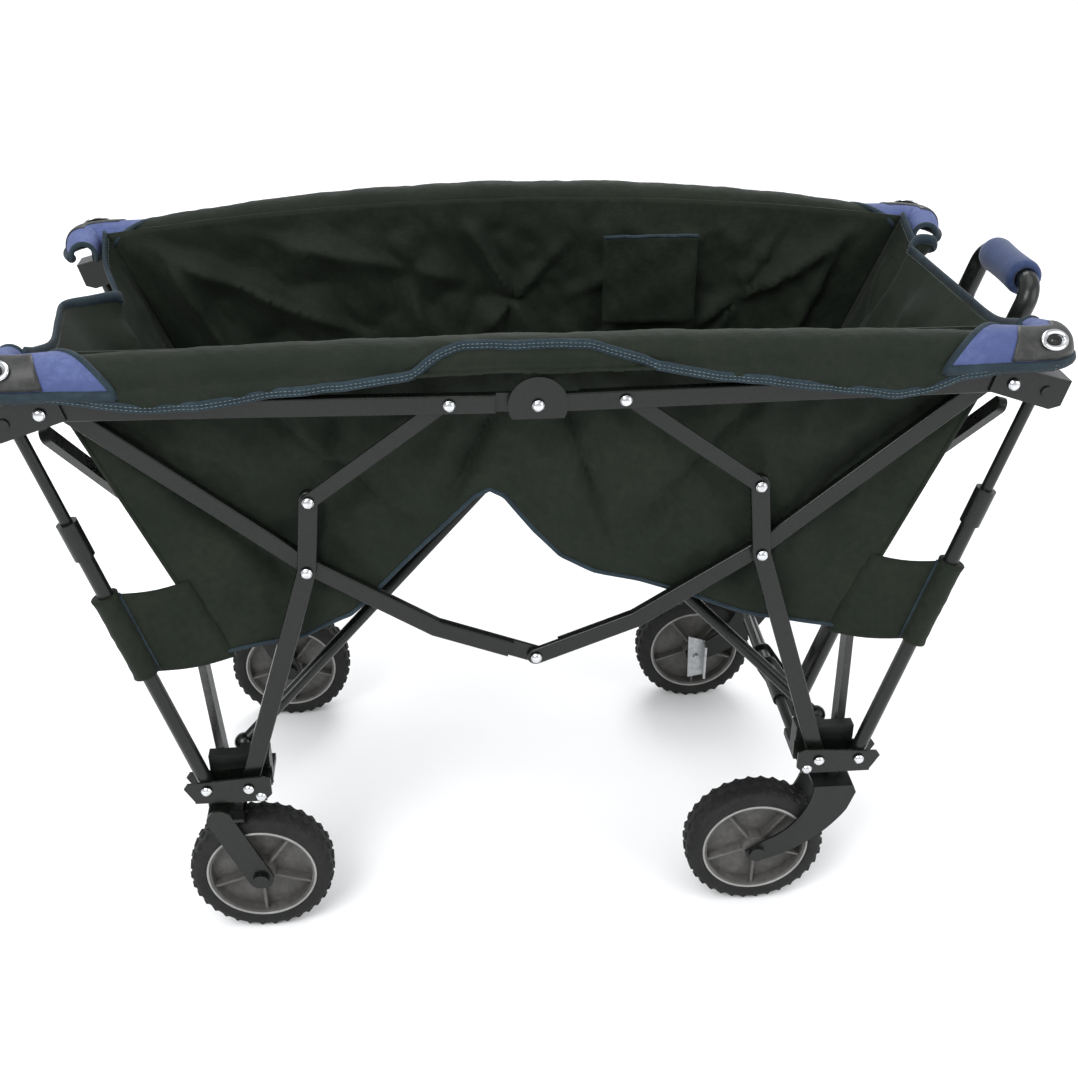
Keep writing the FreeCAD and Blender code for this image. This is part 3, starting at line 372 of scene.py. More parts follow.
# %% The repeating group
def repeat_group():
    group = bpy.data.node_groups.new("repeat_on_points", "GeometryNodeTree")
    face = group.interface
    face.new_socket(name="Points", in_out="INPUT", socket_type="NodeSocketGeometry")
    face.new_socket(name="Part", in_out="INPUT", socket_type="NodeSocketObject")
    size = face.new_socket(name="Size", in_out="INPUT", socket_type="NodeSocketFloat")
    size.default_value = 1.0
    uneven = face.new_socket(name="Unevenness", in_out="INPUT", socket_type="NodeSocketFloat")
    uneven.default_value = 0.02
    face.new_socket(name="Material", in_out="INPUT", socket_type="NodeSocketMaterial")
    face.new_socket(name="Geometry", in_out="OUTPUT", socket_type="NodeSocketGeometry")
    links = group.links
    given, out = group.nodes.new("NodeGroupInput"), group.nodes.new("NodeGroupOutput")
    directions = []
    for label in ("out", "along"):
        named = group.nodes.new("GeometryNodeInputNamedAttribute")
        named.data_type = "FLOAT_VECTOR"
        named.inputs["Name"].default_value = label
        directions.append(named.outputs["Attribute"])
    stand = group.nodes.new("FunctionNodeAlignRotationToVector")
    stand.axis = "Z"
    turn = group.nodes.new("FunctionNodeAlignRotationToVector")
    turn.axis, turn.pivot_axis = "X", "Z"
    links.new(directions[0], stand.inputs["Vector"])
    links.new(stand.outputs["Rotation"], turn.inputs["Rotation"])
    links.new(directions[1], turn.inputs["Vector"])
    part = group.nodes.new("GeometryNodeObjectInfo")
    part.inputs["As Instance"].default_value = True
    links.new(given.outputs["Part"], part.inputs["Object"])
    spread = group.nodes.new("FunctionNodeRandomValue")
    spread.inputs["Seed"].default_value = 7
    low, high = group.nodes.new("ShaderNodeMath"), group.nodes.new("ShaderNodeMath")
    low.operation, high.operation = "SUBTRACT", "ADD"
    for bound in (low, high):
        links.new(given.outputs["Size"], bound.inputs[0])
        links.new(given.outputs["Unevenness"], bound.inputs[1])
    links.new(low.outputs[0], spread.inputs[2])
    links.new(high.outputs[0], spread.inputs[3])
    place = group.nodes.new("GeometryNodeInstanceOnPoints")
    links.new(given.outputs["Points"], place.inputs["Points"])
    links.new(part.outputs["Geometry"], place.inputs["Instance"])
    links.new(turn.outputs["Rotation"], place.inputs["Rotation"])
    links.new(spread.outputs[1], place.inputs["Scale"])
    real = group.nodes.new("GeometryNodeRealizeInstances")
    paint = group.nodes.new("GeometryNodeSetMaterial")
    links.new(place.outputs["Instances"], real.inputs["Geometry"])
    links.new(real.outputs["Geometry"], paint.inputs["Geometry"])
    links.new(given.outputs["Material"], paint.inputs["Material"])
    links.new(paint.outputs["Geometry"], out.inputs["Geometry"])
    return group


REPEAT = repeat_group()


def repeat(name, part, points, outs, alongs, material, uneven=0.02):
    """part on each point, standing along outs and turned along alongs, as one plain mesh."""
    mesh = bpy.data.meshes.new(name)
    mesh.from_pydata([tuple(map(float, p)) for p in points], [], [])
    for label, vectors in (("out", outs), ("along", alongs)):
        attribute = mesh.attributes.new(label, "FLOAT_VECTOR", "POINT")
        attribute.data.foreach_set("vector", np.array(vectors, np.float32).ravel())
    made = bpy.data.objects.new(name, mesh)
    bpy.context.scene.collection.objects.link(made)
    modifier = made.modifiers.new("Repeat", "NODES")
    modifier.node_group = REPEAT
    values = {"Part": part, "Size": 1.0, "Unevenness": uneven, "Material": material}
    for item in REPEAT.interface.items_tree:
        if item.item_type == "SOCKET" and item.in_out == "INPUT" and item.name in values:
            modifier[item.identifier] = values[item.name]
    made.update_tag()
    apply_all(made)
    for label in ("out", "along"):
        if label in made.data.attributes:
            made.data.attributes.remove(made.data.attributes[label])
    return made


def hide(part):
    """A pattern that is repeated elsewhere and isn't shown itself."""
    part.hide_render = True
    part.hide_viewport = True


def dome(name, radius, tall, material, rings=6, sides=20):
    """A rivet's domed head on a thin flat skirt, standing along Z."""
    profile = [(radius * 1.12, 0.0), (radius * 1.12, tall * 0.16), (radius, tall * 0.22)]
    for k in range(1, rings):
        a = math.pi / 2 * k / rings
        profile.append((radius * math.cos(a), tall * (0.22 + 0.78 * math.sin(a))))
    points = [(r * math.cos(2 * math.pi * s / sides), r * math.sin(2 * math.pi * s / sides), z)
              for r, z in profile for s in range(sides)]
    faces = grid_faces(len(profile), sides, around=True)
    points.append((0, 0, tall))
    top = (len(profile) - 1) * sides
    faces += [(top + s, top + (s + 1) % sides, len(points) - 1) for s in range(sides)]
    return make_mesh(name, points, faces, material)

# %% [markdown]
# ## Tyres
# A rounded carcass replaces each plain ring. Diamond blocks stand on it in three rows, and a pale
# bead shows where the grey rim ends.

# %% Tyres and rim beads
def diamond_block(long, wide, tall):
    """A tread block with sloping sides, pointed along X."""
    low = [(long / 2, 0, -0.0006), (0, wide / 2, -0.0006), (-long / 2, 0, -0.0006), (0, -wide / 2, -0.0006)]
    high = [(x * 0.78, y * 0.78, tall) for x, y, _ in low]
    faces = [(4, 5, 6, 7)] + [(k, (k + 1) % 4, 4 + (k + 1) % 4, 4 + k) for k in range(4)]
    return make_mesh("tread_block", low + high, faces, RUBBER, smooth=False)


def revolve(name, centre, profile, material, sides=120):
    """A closed profile of (radius, side) turned about the wheel's own Y axis."""
    points = [(centre.x + r * math.cos(2 * math.pi * s / sides), centre.y + y,
               centre.z + r * math.sin(2 * math.pi * s / sides))
              for s in range(sides) for r, y in profile]
    count = len(profile)
    faces = []
    for s in range(sides):
        for k in range(count):
            a, b = s * count + k, s * count + (k + 1) % count
            c, d = (s + 1) % sides * count + (k + 1) % count, (s + 1) % sides * count + k
            faces.append((a, b, c, d))
    return make_mesh(name, points, faces, material)


BLOCKS_ROUND = 34
BLOCK = diamond_block(0.0125, 0.0105, 0.0020)
hide(BLOCK)
for end in ("rear", "front"):
    for side in ("right", "left"):
        tag = f"{end}_{side}"
        low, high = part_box(f"tyre_{tag}")
        centre = (low + high) / 2
        radius, half = (high.z - low.z) / 2, (high.y - low.y) / 2
        inner = (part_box(f"rim_{tag}")[1].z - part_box(f"rim_{tag}")[0].z) / 2 + 0.0002
        crown = radius - 0.0019
        profile = [(inner, -half * 0.86), (inner + 0.003, -half * 0.97), (radius - 0.010, -half),
                   (radius - 0.0058, -half * 0.93), (radius - 0.0030, -half * 0.74), (crown, -half * 0.35),
                   (crown, half * 0.35), (radius - 0.0030, half * 0.74), (radius - 0.0058, half * 0.93),
                   (radius - 0.010, half), (inner + 0.003, half * 0.97), (inner, half * 0.86)]
        tyre = revolve(f"tyre_body_{tag}", centre, profile, RUBBER)
        points, outs, alongs = [], [], []
        for row, (across, lower) in enumerate(((-0.62, 0.0012), (0.0, 0.0), (0.62, 0.0012))):
            for k in range(BLOCKS_ROUND):
                a = 2 * math.pi * (k + 0.5 * (row % 2)) / BLOCKS_ROUND
                out = Vector((math.cos(a), -0.12 * math.copysign(1, -across) * bool(across), math.sin(a)))
                points.append(centre + Vector((math.cos(a) * (crown - lower), across * half,
                                               math.sin(a) * (crown - lower))))
                outs.append(out.normalized())
                alongs.append((-math.sin(a), 0, math.cos(a)))
        tread = repeat(f"tread_{tag}", BLOCK, points, outs, alongs, RUBBER, uneven=0.0)
        beads = []
        for sign in (-1, 1):
            bead = [(inner - 0.0006 + 0.0014 * math.cos(a), sign * half * 0.885 + 0.0014 * math.sin(a))
                    for a in np.linspace(0, 2 * math.pi, 8, endpoint=False)]
            beads.append(revolve(f"bead_{'far' if sign > 0 else 'near'}_{tag}", centre, bead, RIM_EDGE))
        for piece in (tyre, tread, *beads):
            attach(piece, f"wheel_{tag}_body")
        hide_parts(f"tyre_{tag}")
print("tyres with", len(points), "tread blocks each")

# %% [markdown]
# ## Rivets
# A bright domed head stands wherever a pivot shows on a side frame. A ray from outside finds the
# face it stands on, and that face's node says which body the head rides on.

# %% Domed rivets on the pivots
def outermost(x, z, side):
    """The first bar that a line from outside meets at (x, z), and the Y of that face."""
    best = None
    for name, part in frame["nodes"].items():
        if name.startswith(("bag", "tyre", "rim", "handle", "middle", "floor", "end_bar")):
            continue
        start = Vector((x, side * 0.3, z))
        hit, place, _, _ = part.ray_cast(start, Vector((0, -side, 0)))
        if hit and (best is None or abs(place.y) > abs(best[1])):
            best = (name, place.y)
    return best


BODY_OF_NODE = {n: body for body, members in frame["record"]["behaviour"]["bodies"].items() for n in members}
HEAD_RADIUS, HEAD_TALL = 0.0052, 0.0030
HEAD = dome("rivet_head", HEAD_RADIUS, HEAD_TALL, CHROME)
hide(HEAD)
spots = set()
for joint in frame["joints"]:
    place = joint.get("pos_m") or joint.get("origin_m")
    axis = joint.get("axis") or [0, 0, 0]
    if place and joint["type"] == "hinge" and abs(axis[1]) > 0.99 and "wheel" not in joint["name"]:
        spots.add((round(abs(place[0]), 4), round(place[2], 4)))
# The brackets' second rivet has no joint of its own.
bracket_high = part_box("bracket_front_right")[1]
from_end, from_top = 0.011, 0.014
spots.add((round(bracket_high.x - from_end, 4), round(bracket_high.z - from_top, 4)))
# The pivots where the closed frame is opened into a tree have a rivet too, but no joint.
link_low, link_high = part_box("link_front_right")
link_end = 0.0075
spots.add((round(link_high.x - link_end, 4), round(link_low.z + link_end, 4)))
diagonal_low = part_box("diagonal_front_right")[0]
half_bar = 0.0095
spots.add((0.0, round(diagonal_low.z + half_bar, 4)))
heads = {}
for x, z in sorted(spots):
    for sign in ((1, -1) if x > 0.001 else (1,)):
        for side in (-1, 1):
            found = outermost(sign * x, z, side)
            if found and abs(found[1]) > 0.17 and z > 0.17:
                heads.setdefault(BODY_OF_NODE[found[0]], []).append(((sign * x, found[1], z), side))
for body, places in sorted(heads.items()):
    rivets = repeat(f"rivets_{body}", HEAD, [p for p, _ in places], [(0, s, 0) for _, s in places],
                    [(1, 0, 0)] * len(places), CHROME)
    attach(rivets, body)
print("rivets on", len(heads), "bodies:", sum(len(v) for v in heads.values()))

# %% [markdown]
# ## The bag
# The walls hang inside the frame, the ends slope in, and the floor rises in the middle, because the
# wagon stands partly folded. Each face is a grid of points that shares its edges with its neighbours,
# pushed in and out by sharp creases that run from the corners.

# %% The bag's outline
bag_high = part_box("bag")[1]
WALL_Y = 0.1815                 # outside of the hanging walls
TOP_X, LOW_X = bag_high.x + 0.010, 0.326
TOP_Z = bag_high.z - 0.006
HEM_X = np.array([0.0, 0.05, 0.09, 0.14, 0.19, 0.24, 0.30, LOW_X])
HEM_Z = np.array([0.502, 0.492, 0.466, 0.438, 0.410, 0.384, 0.363, 0.358])


NEAR_HEM_X = np.array([-LOW_X, -0.24, -0.19, -0.155, -0.09, -0.06, -0.045, -0.03, 0,
                       0.026, 0.06, 0.108, 0.24, LOW_X])
NEAR_HEM_Z = np.array([0.358, 0.374, 0.400, 0.436, 0.500, 0.530, 0.538, 0.530, 0.488,
                       0.458, 0.440, 0.426, 0.376, 0.358])


def hem(x, near=0.0):
    """Height of the floor at x. near goes to 1 at the near wall, where the cloth is drawn up in a peak."""
    even = np.interp(np.abs(x), HEM_X, HEM_Z)
    drawn = np.interp(x, NEAR_HEM_X, NEAR_HEM_Z)
    ends = np.clip((LOW_X - np.abs(x)) * 30, 0, 1)
    return even + (drawn - even) * near + 0.003 * ends * noise(x * 9, 0 * x, 4.0)


def bow(x, sign):
    """The far side's cloth stands up in a long bow over the rail."""
    return 0.031 * np.clip(1 - (x / 0.46) ** 2, 0, 1) * (sign > 0)


def creases(a, b, lines):
    """The sum of sharp creases, each (a0, b0, a1, b1, depth, width), fading at its ends."""
    total = np.zeros_like(a)
    for a0, b0, a1, b1, depth, width in lines:
        run = np.hypot(a1 - a0, b1 - b0)
        t = ((a - a0) * (a1 - a0) + (b - b0) * (b1 - b0)) / run ** 2
        across = ((a - a0) * (b1 - b0) - (b - b0) * (a1 - a0)) / run
        fade = np.clip(np.sin(np.pi * np.clip(t, 0, 1)), 0, 1) ** 0.6
        side = np.where(across > 0, 1.0, 2.6)
        total += depth * fade * np.exp(-np.abs(across) * side / width)
    return total


FAR_LINES = [(-0.44, 0.69, -0.16, 0.56, 0.012, 0.020), (-0.41, 0.69, -0.27, 0.42, 0.010, 0.016),
             (-0.34, 0.70, -0.05, 0.63, -0.008, 0.022), (-0.05, 0.70, 0.03, 0.55, 0.011, 0.014),
             (0.07, 0.68, -0.04, 0.56, -0.009, 0.016), (-0.12, 0.66, -0.10, 0.50, 0.008, 0.014),
             (0.43, 0.69, 0.17, 0.54, 0.012, 0.018), (0.40, 0.69, 0.30, 0.45, 0.010, 0.015),
             (0.33, 0.70, 0.20, 0.47, -0.008, 0.018), (0.26, 0.69, 0.05, 0.60, 0.008, 0.022)]
NEAR_LINES = [(-0.42, 0.64, -0.22, 0.40, 0.009, 0.018), (-0.30, 0.66, -0.12, 0.50, -0.008, 0.020),
              (-0.18, 0.66, -0.24, 0.42, 0.007, 0.015), (0.42, 0.64, 0.20, 0.42, 0.009, 0.018),
              (0.25, 0.66, 0.10, 0.47, -0.008, 0.020), (0.02, 0.66, 0.08, 0.46, 0.008, 0.014),
              (-0.02, 0.66, -0.10, 0.48, 0.007, 0.014)]
COLUMNS, ROWS, ACROSS = 161, 49, 65


def side_wall(sign, lines):
    """A wall's points, from the rail down to the hem. sign is +1 on the far side."""
    u, v = np.meshgrid(np.linspace(-1, 1, COLUMNS), np.linspace(0, 1, ROWS))
    low_x = u * LOW_X
    x = u * (TOP_X * (1 - v) + LOW_X * v)
    z = (TOP_Z + bow(u * TOP_X, sign)) * (1 - v) + hem(low_x, float(sign < 0)) * v
    edge = np.clip(np.minimum(np.minimum(v, 1 - v) * 7, (1 - np.abs(u)) * 12), 0, 1)
    push = creases(x, z, lines) + 0.004 * noise(x * 14, z * 16, 1.0 + sign)
    y = sign * (WALL_Y - edge * np.clip(np.abs(push) * 2.4, 0, 0.046))
    return np.stack([x, y, z], axis=2)


REAR_TOP = [(-TOP_X, -WALL_Y, TOP_Z), (-0.468, -0.140, 0.678), (-0.4645, -0.097, 0.669),
            (-0.470, -0.045, 0.674),
            (-0.4716, -0.010, 0.676), (-0.452, 0.020, 0.671), (-0.430, 0.044, 0.667), (-0.430, 0.052, 0.658),
            (-0.450, 0.046, 0.646), (-0.458, 0.056, 0.640), (-0.448, 0.088, 0.640), (-0.446, 0.112, 0.645),
            (-0.462, 0.150, 0.668), (-TOP_X, WALL_Y, TOP_Z)]
FRONT_TOP = [(TOP_X, -WALL_Y, TOP_Z), (0.4690, -0.112, 0.673), (0.462, -0.02, 0.674), (0.4546, 0.085, 0.676),
             (0.452, 0.104, 0.678), (0.462, 0.112, 0.686), (0.478, 0.108, 0.686), (0.484, 0.117, 0.676),
             (0.470, 0.126, 0.672), (0.466, 0.145, 0.680), (TOP_X, WALL_Y, TOP_Z)]


def end_wall(top, sign):
    """An end's points, from its folded upper edge down to the floor's straight end."""
    line = smooth_line(top, ACROSS)
    v = np.linspace(0, 1, ROWS)[:, None]
    spread = np.linspace(-1, 1, ACROSS)
    straight = np.stack([np.full(ACROSS, sign * TOP_X), spread * WALL_Y, np.full(ACROSS, TOP_Z)], axis=1)
    low = np.stack([np.full(ACROSS, sign * LOW_X), spread * WALL_Y,
                    hem(np.full(ACROSS, sign * LOW_X))], axis=1)
    fold = (line - straight)[None] * (np.exp(-v * 3.2) * (1 - v))[:, :, None]
    points = straight[None] * (1 - v[:, :, None]) + low[None] * v[:, :, None] + fold
    a = np.broadcast_to(spread, (ROWS, ACROSS))
    edge = np.clip(np.minimum(np.minimum(v, 1 - v) * 6, (1 - np.abs(a)) * 6), 0, 1)
    push = creases(a, 1 - v + 0 * a, [(-0.9, 0.95, 0.1, 0.1, 0.020, 0.14),
                                      (0.9, 0.9, -0.2, 0.15, 0.018, 0.12),
                                      (0.1, 0.9, 0.0, 0.1, 0.014, 0.10), (-0.5, 0.9, -0.3, 0.2, 0.012, 0.09)])
    points[:, :, 0] -= sign * edge * (push + 0.005 * (1 + noise(a * 3, v * 5 + 0 * a, 2.5)))
    return points


def floor_of_bag():
    """The floor's points: it drapes over the middle hub and falls to both ends."""
    u, s = np.meshgrid(np.linspace(-1, 1, COLUMNS), np.linspace(-1, 1, ACROSS))
    x, y = u * LOW_X, s * WALL_Y
    z = hem(x, ((1 - s) / 2) ** 4)
    edge = np.clip(np.minimum((1 - np.abs(u)) * 9, (1 - np.abs(s)) * 6), 0, 1)
    folds = [(-0.30, 0.15, 0.0, 0.02, 0.010, 0.016), (0.30, 0.15, 0.0, 0.02, 0.010, 0.016),
             (-0.30, -0.15, 0.0, -0.02, 0.010, 0.016), (0.30, -0.15, 0.0, -0.02, 0.010, 0.016),
             (-0.12, 0.16, 0.12, 0.15, 0.008, 0.02)]
    z = z + edge * (creases(x, y, folds) + 0.003 * (1 + noise(x * 15, y * 17, 5.0)))
    return np.stack([x, y, z], axis=2)


near, far = side_wall(-1, NEAR_LINES), side_wall(1, FAR_LINES)
rear, front = end_wall(REAR_TOP, -1), end_wall(FRONT_TOP, 1)
ground = floor_of_bag()
# Edges that two grids share take the same points.
rear[:, 0], rear[:, -1] = near[:, 0], far[:, 0]
front[:, 0], front[:, -1] = near[:, -1], far[:, -1]
ground[0], ground[-1] = near[-1], far[-1]
rear[-1], front[-1] = ground[:, 0], ground[:, -1]
panels = {}
for name, points in (("wall_right", near), ("wall_left", far), ("end_rear", rear), ("end_front", front),
                     ("bag_floor", ground)):
    panel, area = thick_cloth(name, points, CLOTH, 0.0022)
    panels[name] = (panel, area)
    print(name, len(panel.data.polygons), "faces,", round(area, 3), "square metres")
# Tape covers the seams where the panels meet.
seams = {"wall_right": [], "wall_left": []}
for name, wall in (("wall_right", near), ("wall_left", far)):
    seams[name].append(tube(f"{name}_hem", wall[-1], 0.0026, BINDING, sides=8))
    for end, column in (("rear", 0), ("front", -1)):
        seams[name].append(tube(f"{name}_seam_{end}", wall[:, column], 0.0026, CLOTH, up=(0, 1, 0), sides=8))

# %% [markdown]
# ## Rolled rims
# On each side the cloth rolls over the top rail as a soft padded tube, then falls outside it as a flap
# whose bound edge dips near both corners.

# %% The rolled rims and their flaps
FLAP_X = np.array([-0.485, -0.43, -0.40, -0.352, -0.29, -0.2255, -0.16, -0.115, -0.088, -0.07, 0.045, 0.075,
                   0.11,
                   0.15, 0.21, 0.28, 0.337, 0.365, 0.395, 0.43, 0.485])
FLAP_Z = np.array([0.667, 0.665, 0.659, 0.652, 0.656, 0.666, 0.670, 0.678, 0.696, 0.701, 0.700, 0.692, 0.680,
                   0.671, 0.662, 0.652, 0.644, 0.647, 0.660, 0.666, 0.667])
ROLL_X = 0.484


def roll_height(x, sign):
    """The crown of a roll sags a little towards its corners, and bows up on the far side."""
    return 0.7065 - 0.013 * (np.abs(x) / ROLL_X) ** 2.2 + bow(x, sign) + 0.0012 * noise(x * 16, 0 * x, 3.0)


def rolled_rim(sign):
    """A roll's skin and its flap, as rows along X. Returns the points and the flap's edge line."""
    x = np.linspace(-ROLL_X, ROLL_X, 221)
    crown = roll_height(x, sign)
    flap = np.interp(-sign * x, FLAP_X, FLAP_Z) + 0.0010 * noise(x * 22, 0 * x, 6.0)
    inner, outer = 0.1830, 0.2245
    rows = []
    middle, half, tall = (inner + outer) / 2, (outer - inner) / 2, 0.0245
    for t in np.linspace(0, 1, 22):
        a = math.pi * (1 - t)
        y = middle + half * math.cos(a) * (1 + 0.03 * noise(x * 12, t * 3 + 0 * x, 2.0))
        z = crown - tall + tall * abs(math.sin(a)) ** 0.75
        z = z - 0.0010 * np.abs(noise(x * 40, t * 5 + 0 * x, 1.0)) * math.sin(a)
        rows.append(np.stack([x, sign * y, z], axis=1))
    start = rows[-1]
    for t in np.linspace(0.1, 1, 9):
        z = start[:, 2] * (1 - t) + np.minimum(flap, start[:, 2] - 0.002) * t
        flare = 0.0052 * math.sin(t * math.pi * 0.6) + 0.0022 * t * noise(x * 26, t + 0 * x, 5.0)
        rows.append(np.stack([x, sign * (outer + np.abs(flare)), z], axis=1))
    low_in = rows[0].copy()
    low_in[:, 2] -= 0.006
    # Where the flap is turned up, its bound edge lies on the roll's outer shoulder.
    edge_line = rows[-1].copy()
    share = np.clip((flap - (crown - tall)) / tall, 0, 0.97)
    shoulder = middle + half * np.cos(np.arcsin(share ** (1 / 0.75)))
    up = share > 0.02
    edge_line[:, 2] = np.where(up, flap, edge_line[:, 2])
    edge_line[:, 1] = np.where(up, sign * (shoulder + 0.0012), edge_line[:, 1])
    flat = edge_line[:, 1:]
    edge_line[:, 1:] = (flat + np.roll(flat, 1, 0) + np.roll(flat, -1, 0)) / 3
    edge_line[[0, -1], 1:] = rows[-1][[0, -1], 1:]
    return np.array([low_in] + rows), edge_line


def stitches(name, line, out, spacing=0.0042):
    """A row of thread stitches along a line, a little off the cloth."""
    line = np.array(line, float)
    length = np.linalg.norm(np.diff(line, axis=0), axis=1).sum()
    even = smooth_line(line, max(3, int(length / spacing)))
    along = np.gradient(even, axis=0)
    outs = np.broadcast_to(np.array(out, float), even.shape)
    return repeat(name, STITCH, even + outs * 0.0003, outs, along, THREAD, uneven=0.08)


STITCH = tube("stitch", [(-0.0014, 0, 0), (-0.0007, 0, 0.0002), (0.0007, 0, 0.0002), (0.0014, 0, 0)],
              [0.0002, 0.0004, 0.0004, 0.0002], THREAD, sides=6)
hide(STITCH)
rolls = {}
for side, sign in (("right", -1), ("left", 1)):
    points, edge_line = rolled_rim(sign)
    roll, area = thick_cloth(f"rim_roll_{side}", points, CLOTH, 0.0018)
    tape = tube(f"rim_tape_{side}", edge_line + np.array([0, 0, 0.0035]), 0.0050, BINDING,
                up=(0, 0, 1), sides=12)
    for vertex in tape.data.vertices:
        centre_y = np.interp(vertex.co.x, edge_line[:, 0], edge_line[:, 1])
        vertex.co.y = centre_y + (vertex.co.y - centre_y) * 0.40
    face = edge_line + np.array([0, sign * 0.0022, 0])
    sewn = [stitches(f"rim_stitch_{side}_{row}", face + np.array([0, 0, lift]), (0, sign, 0))
            for row, lift in enumerate((0.0022, 0.0054))]
    rolls[side] = (roll, area, tape, sewn)
    print(roll.name, round(area, 3), "square metres")

# %% [markdown]
# ## Bound end edges
# Blue-grey tape closes the upper edge of both ends and follows their folds, with a row of stitches along its
# inside.

# %% Edge tape on the ends
end_tapes = []
for end, top in (("rear", REAR_TOP), ("front", FRONT_TOP)):
    line = smooth_line(top, 120)
    tape = tube(f"end_tape_{end}", line, 0.0062, BINDING, sides=12)
    centres = np.repeat(line, 12, axis=0)
    for vertex, centre in zip(tape.data.vertices, centres):
        vertex.co.x = centre[0] + (vertex.co.x - centre[0]) * 0.42
    inside = -1 if end == "front" else 1
    sewn = stitches(f"end_stitch_{end}", line + np.array([inside * 0.0030, 0, -0.0035]), (inside, 0, 0))
    end_tapes += [(end, tape), (end, sewn)]
print("end tapes", [t.name for _, t in end_tapes])

# %% [markdown]
# ## Corner patches
# Each corner has a blue patch that follows the roll round the corner, bound at its edges, with a dark
# backing and an oval chrome eyelet on its outer side. They ride the brackets.

# %% Corner patches and eyelets
def corner_patch(end_sign, side_sign):
    """The patch's points: an open half-roll that runs along the side, then turns along the end."""
    path = smooth_line([(0.405, 0.2045), (0.440, 0.2055), (0.470, 0.2060), (0.4885, 0.1985), (0.4905, 0.180),
                        (0.4860, 0.155)], 46)
    turn = np.gradient(path, axis=0)
    turn /= np.linalg.norm(turn, axis=1)[:, None]
    out = np.stack([-turn[:, 1], turn[:, 0]], axis=1)
    run = np.linspace(0, 1, len(path))
    half = 0.0232 * (1 - 0.42 * np.clip((run - 0.55) / 0.45, 0, 1) ** 1.5)
    crown = np.interp(run, [0, 0.45, 0.75, 1], [0.7015, 0.7000, 0.6985, 0.6905])
    low_out = np.interp(run, [0, 0.35, 0.7, 1], [0.6660, 0.6680, 0.6680, 0.6720])
    rows = []
    for t in np.linspace(0, 1, 21):
        a = math.pi * (1 - t)
        swell = math.sin(a) ** 0.7 if 0 < t < 1 else 0.0
        base = crown - 0.021 if t < 0.5 else low_out
        flat = path + out * (half * math.cos(a))[:, None]
        # The patch's start is cut on a slant: long outside, short inside.
        flat[:, 0] += (0.050 - 0.075 * t) * np.clip(1 - run / 0.45, 0, 1)
        z = base + (crown - base) * swell
        rows.append(np.stack([flat[:, 0] * end_sign, flat[:, 1] * side_sign, z], axis=1))
    return np.array(rows)


def eyelet(name, long, wide, thick, material):
    """An oval ring lying in its own XY plane."""
    points, sides, rounds = [], 40, 10
    for s in range(sides):
        a = 2 * math.pi * s / sides
        centre = np.array([long * math.cos(a), wide * math.sin(a), 0])
        away = np.array([math.cos(a), math.sin(a), 0])
        for r in range(rounds):
            b = 2 * math.pi * r / rounds
            points.append(centre + away * thick * math.cos(b) + np.array([0, 0, thick * 0.6 * math.sin(b)]))
    faces = [(s * rounds + r, (s + 1) % sides * rounds + r, (s + 1) % sides * rounds + (r + 1) % rounds,
              s * rounds + (r + 1) % rounds) for s in range(sides) for r in range(rounds)]
    return make_mesh(name, points, faces, material)


for end, end_sign in (("rear", -1), ("front", 1)):
    for side, side_sign in (("right", -1), ("left", 1)):
        tag = f"{end}_{side}"
        rows = corner_patch(end_sign, side_sign)
        patch, area = thick_cloth(f"patch_{tag}", rows, PATCH, 0.0016)
        lower = tube(f"patch_edge_{tag}", rows[-1] + np.array([0, 0, 0.003]), 0.0052, BINDING, sides=12)
        start = tube(f"patch_start_{tag}", rows[:, 0], 0.0030, BINDING, up=(1, 0, 0), sides=10)
        close = tube(f"patch_close_{tag}", rows[:, -1], 0.0030, BINDING, up=(0, 1, 0), sides=10)
        backing_rows = rows[9:20, 15:35].copy()
        middle = np.array([end_sign * 0.45, side_sign * 0.17, 0.66])
        away = backing_rows - middle
        backing_rows += away / np.linalg.norm(away, axis=2)[:, :, None] * 0.0016
        backing, _ = thick_cloth(f"patch_backing_{tag}", backing_rows, LEATHER, 0.0014)
        at = backing_rows[6, 10]
        u = backing_rows[6, 13] - backing_rows[6, 7]
        v = backing_rows[8, 10] - backing_rows[4, 10]
        u, v = u / np.linalg.norm(u), v / np.linalg.norm(v)
        facing = np.cross(u, v)
        facing *= math.copysign(1, facing @ (at - middle)) / np.linalg.norm(facing)
        rings = []
        for label, long, wide, thick, material, lift in (("rim", 0.0128, 0.0082, 0.0027, CHROME, 0.0018),
                                                          ("core", 0.0062, 0.0034, 0.0024, RUBBER, 0.0009)):
            part = eyelet(f"eyelet_{label}_{tag}", long, wide, thick, material)
            side_way = np.cross(facing, u)
            for vertex in part.data.vertices:
                c = np.array(vertex.co)
                vertex.co = Vector(at + facing * (lift + c[2]) + u * c[0] + side_way * c[1])
            rings.append(part)
        cap_points = [at + facing * 0.0012 + u * 0.012 * math.cos(a)
                      + np.cross(facing, u) * 0.0075 * math.sin(a)
                      for a in np.linspace(0, 2 * math.pi, 32, endpoint=False)]
        cap = make_mesh(f"eyelet_plate_{tag}", cap_points + [at + facing * 0.0004],
                        [(k, (k + 1) % 32, 32) for k in range(32)], CHROME)
        body = BODY_OF_NODE[f"bracket_{tag}"]
        group = [patch, lower, start, close, backing, *rings, cap]
        for piece in group:
            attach(piece, body)

# %% [markdown]
# ## Post sleeves and the pocket
# Cloth sleeves hold the bag to the posts, and a flat pocket is sewn inside the far wall.

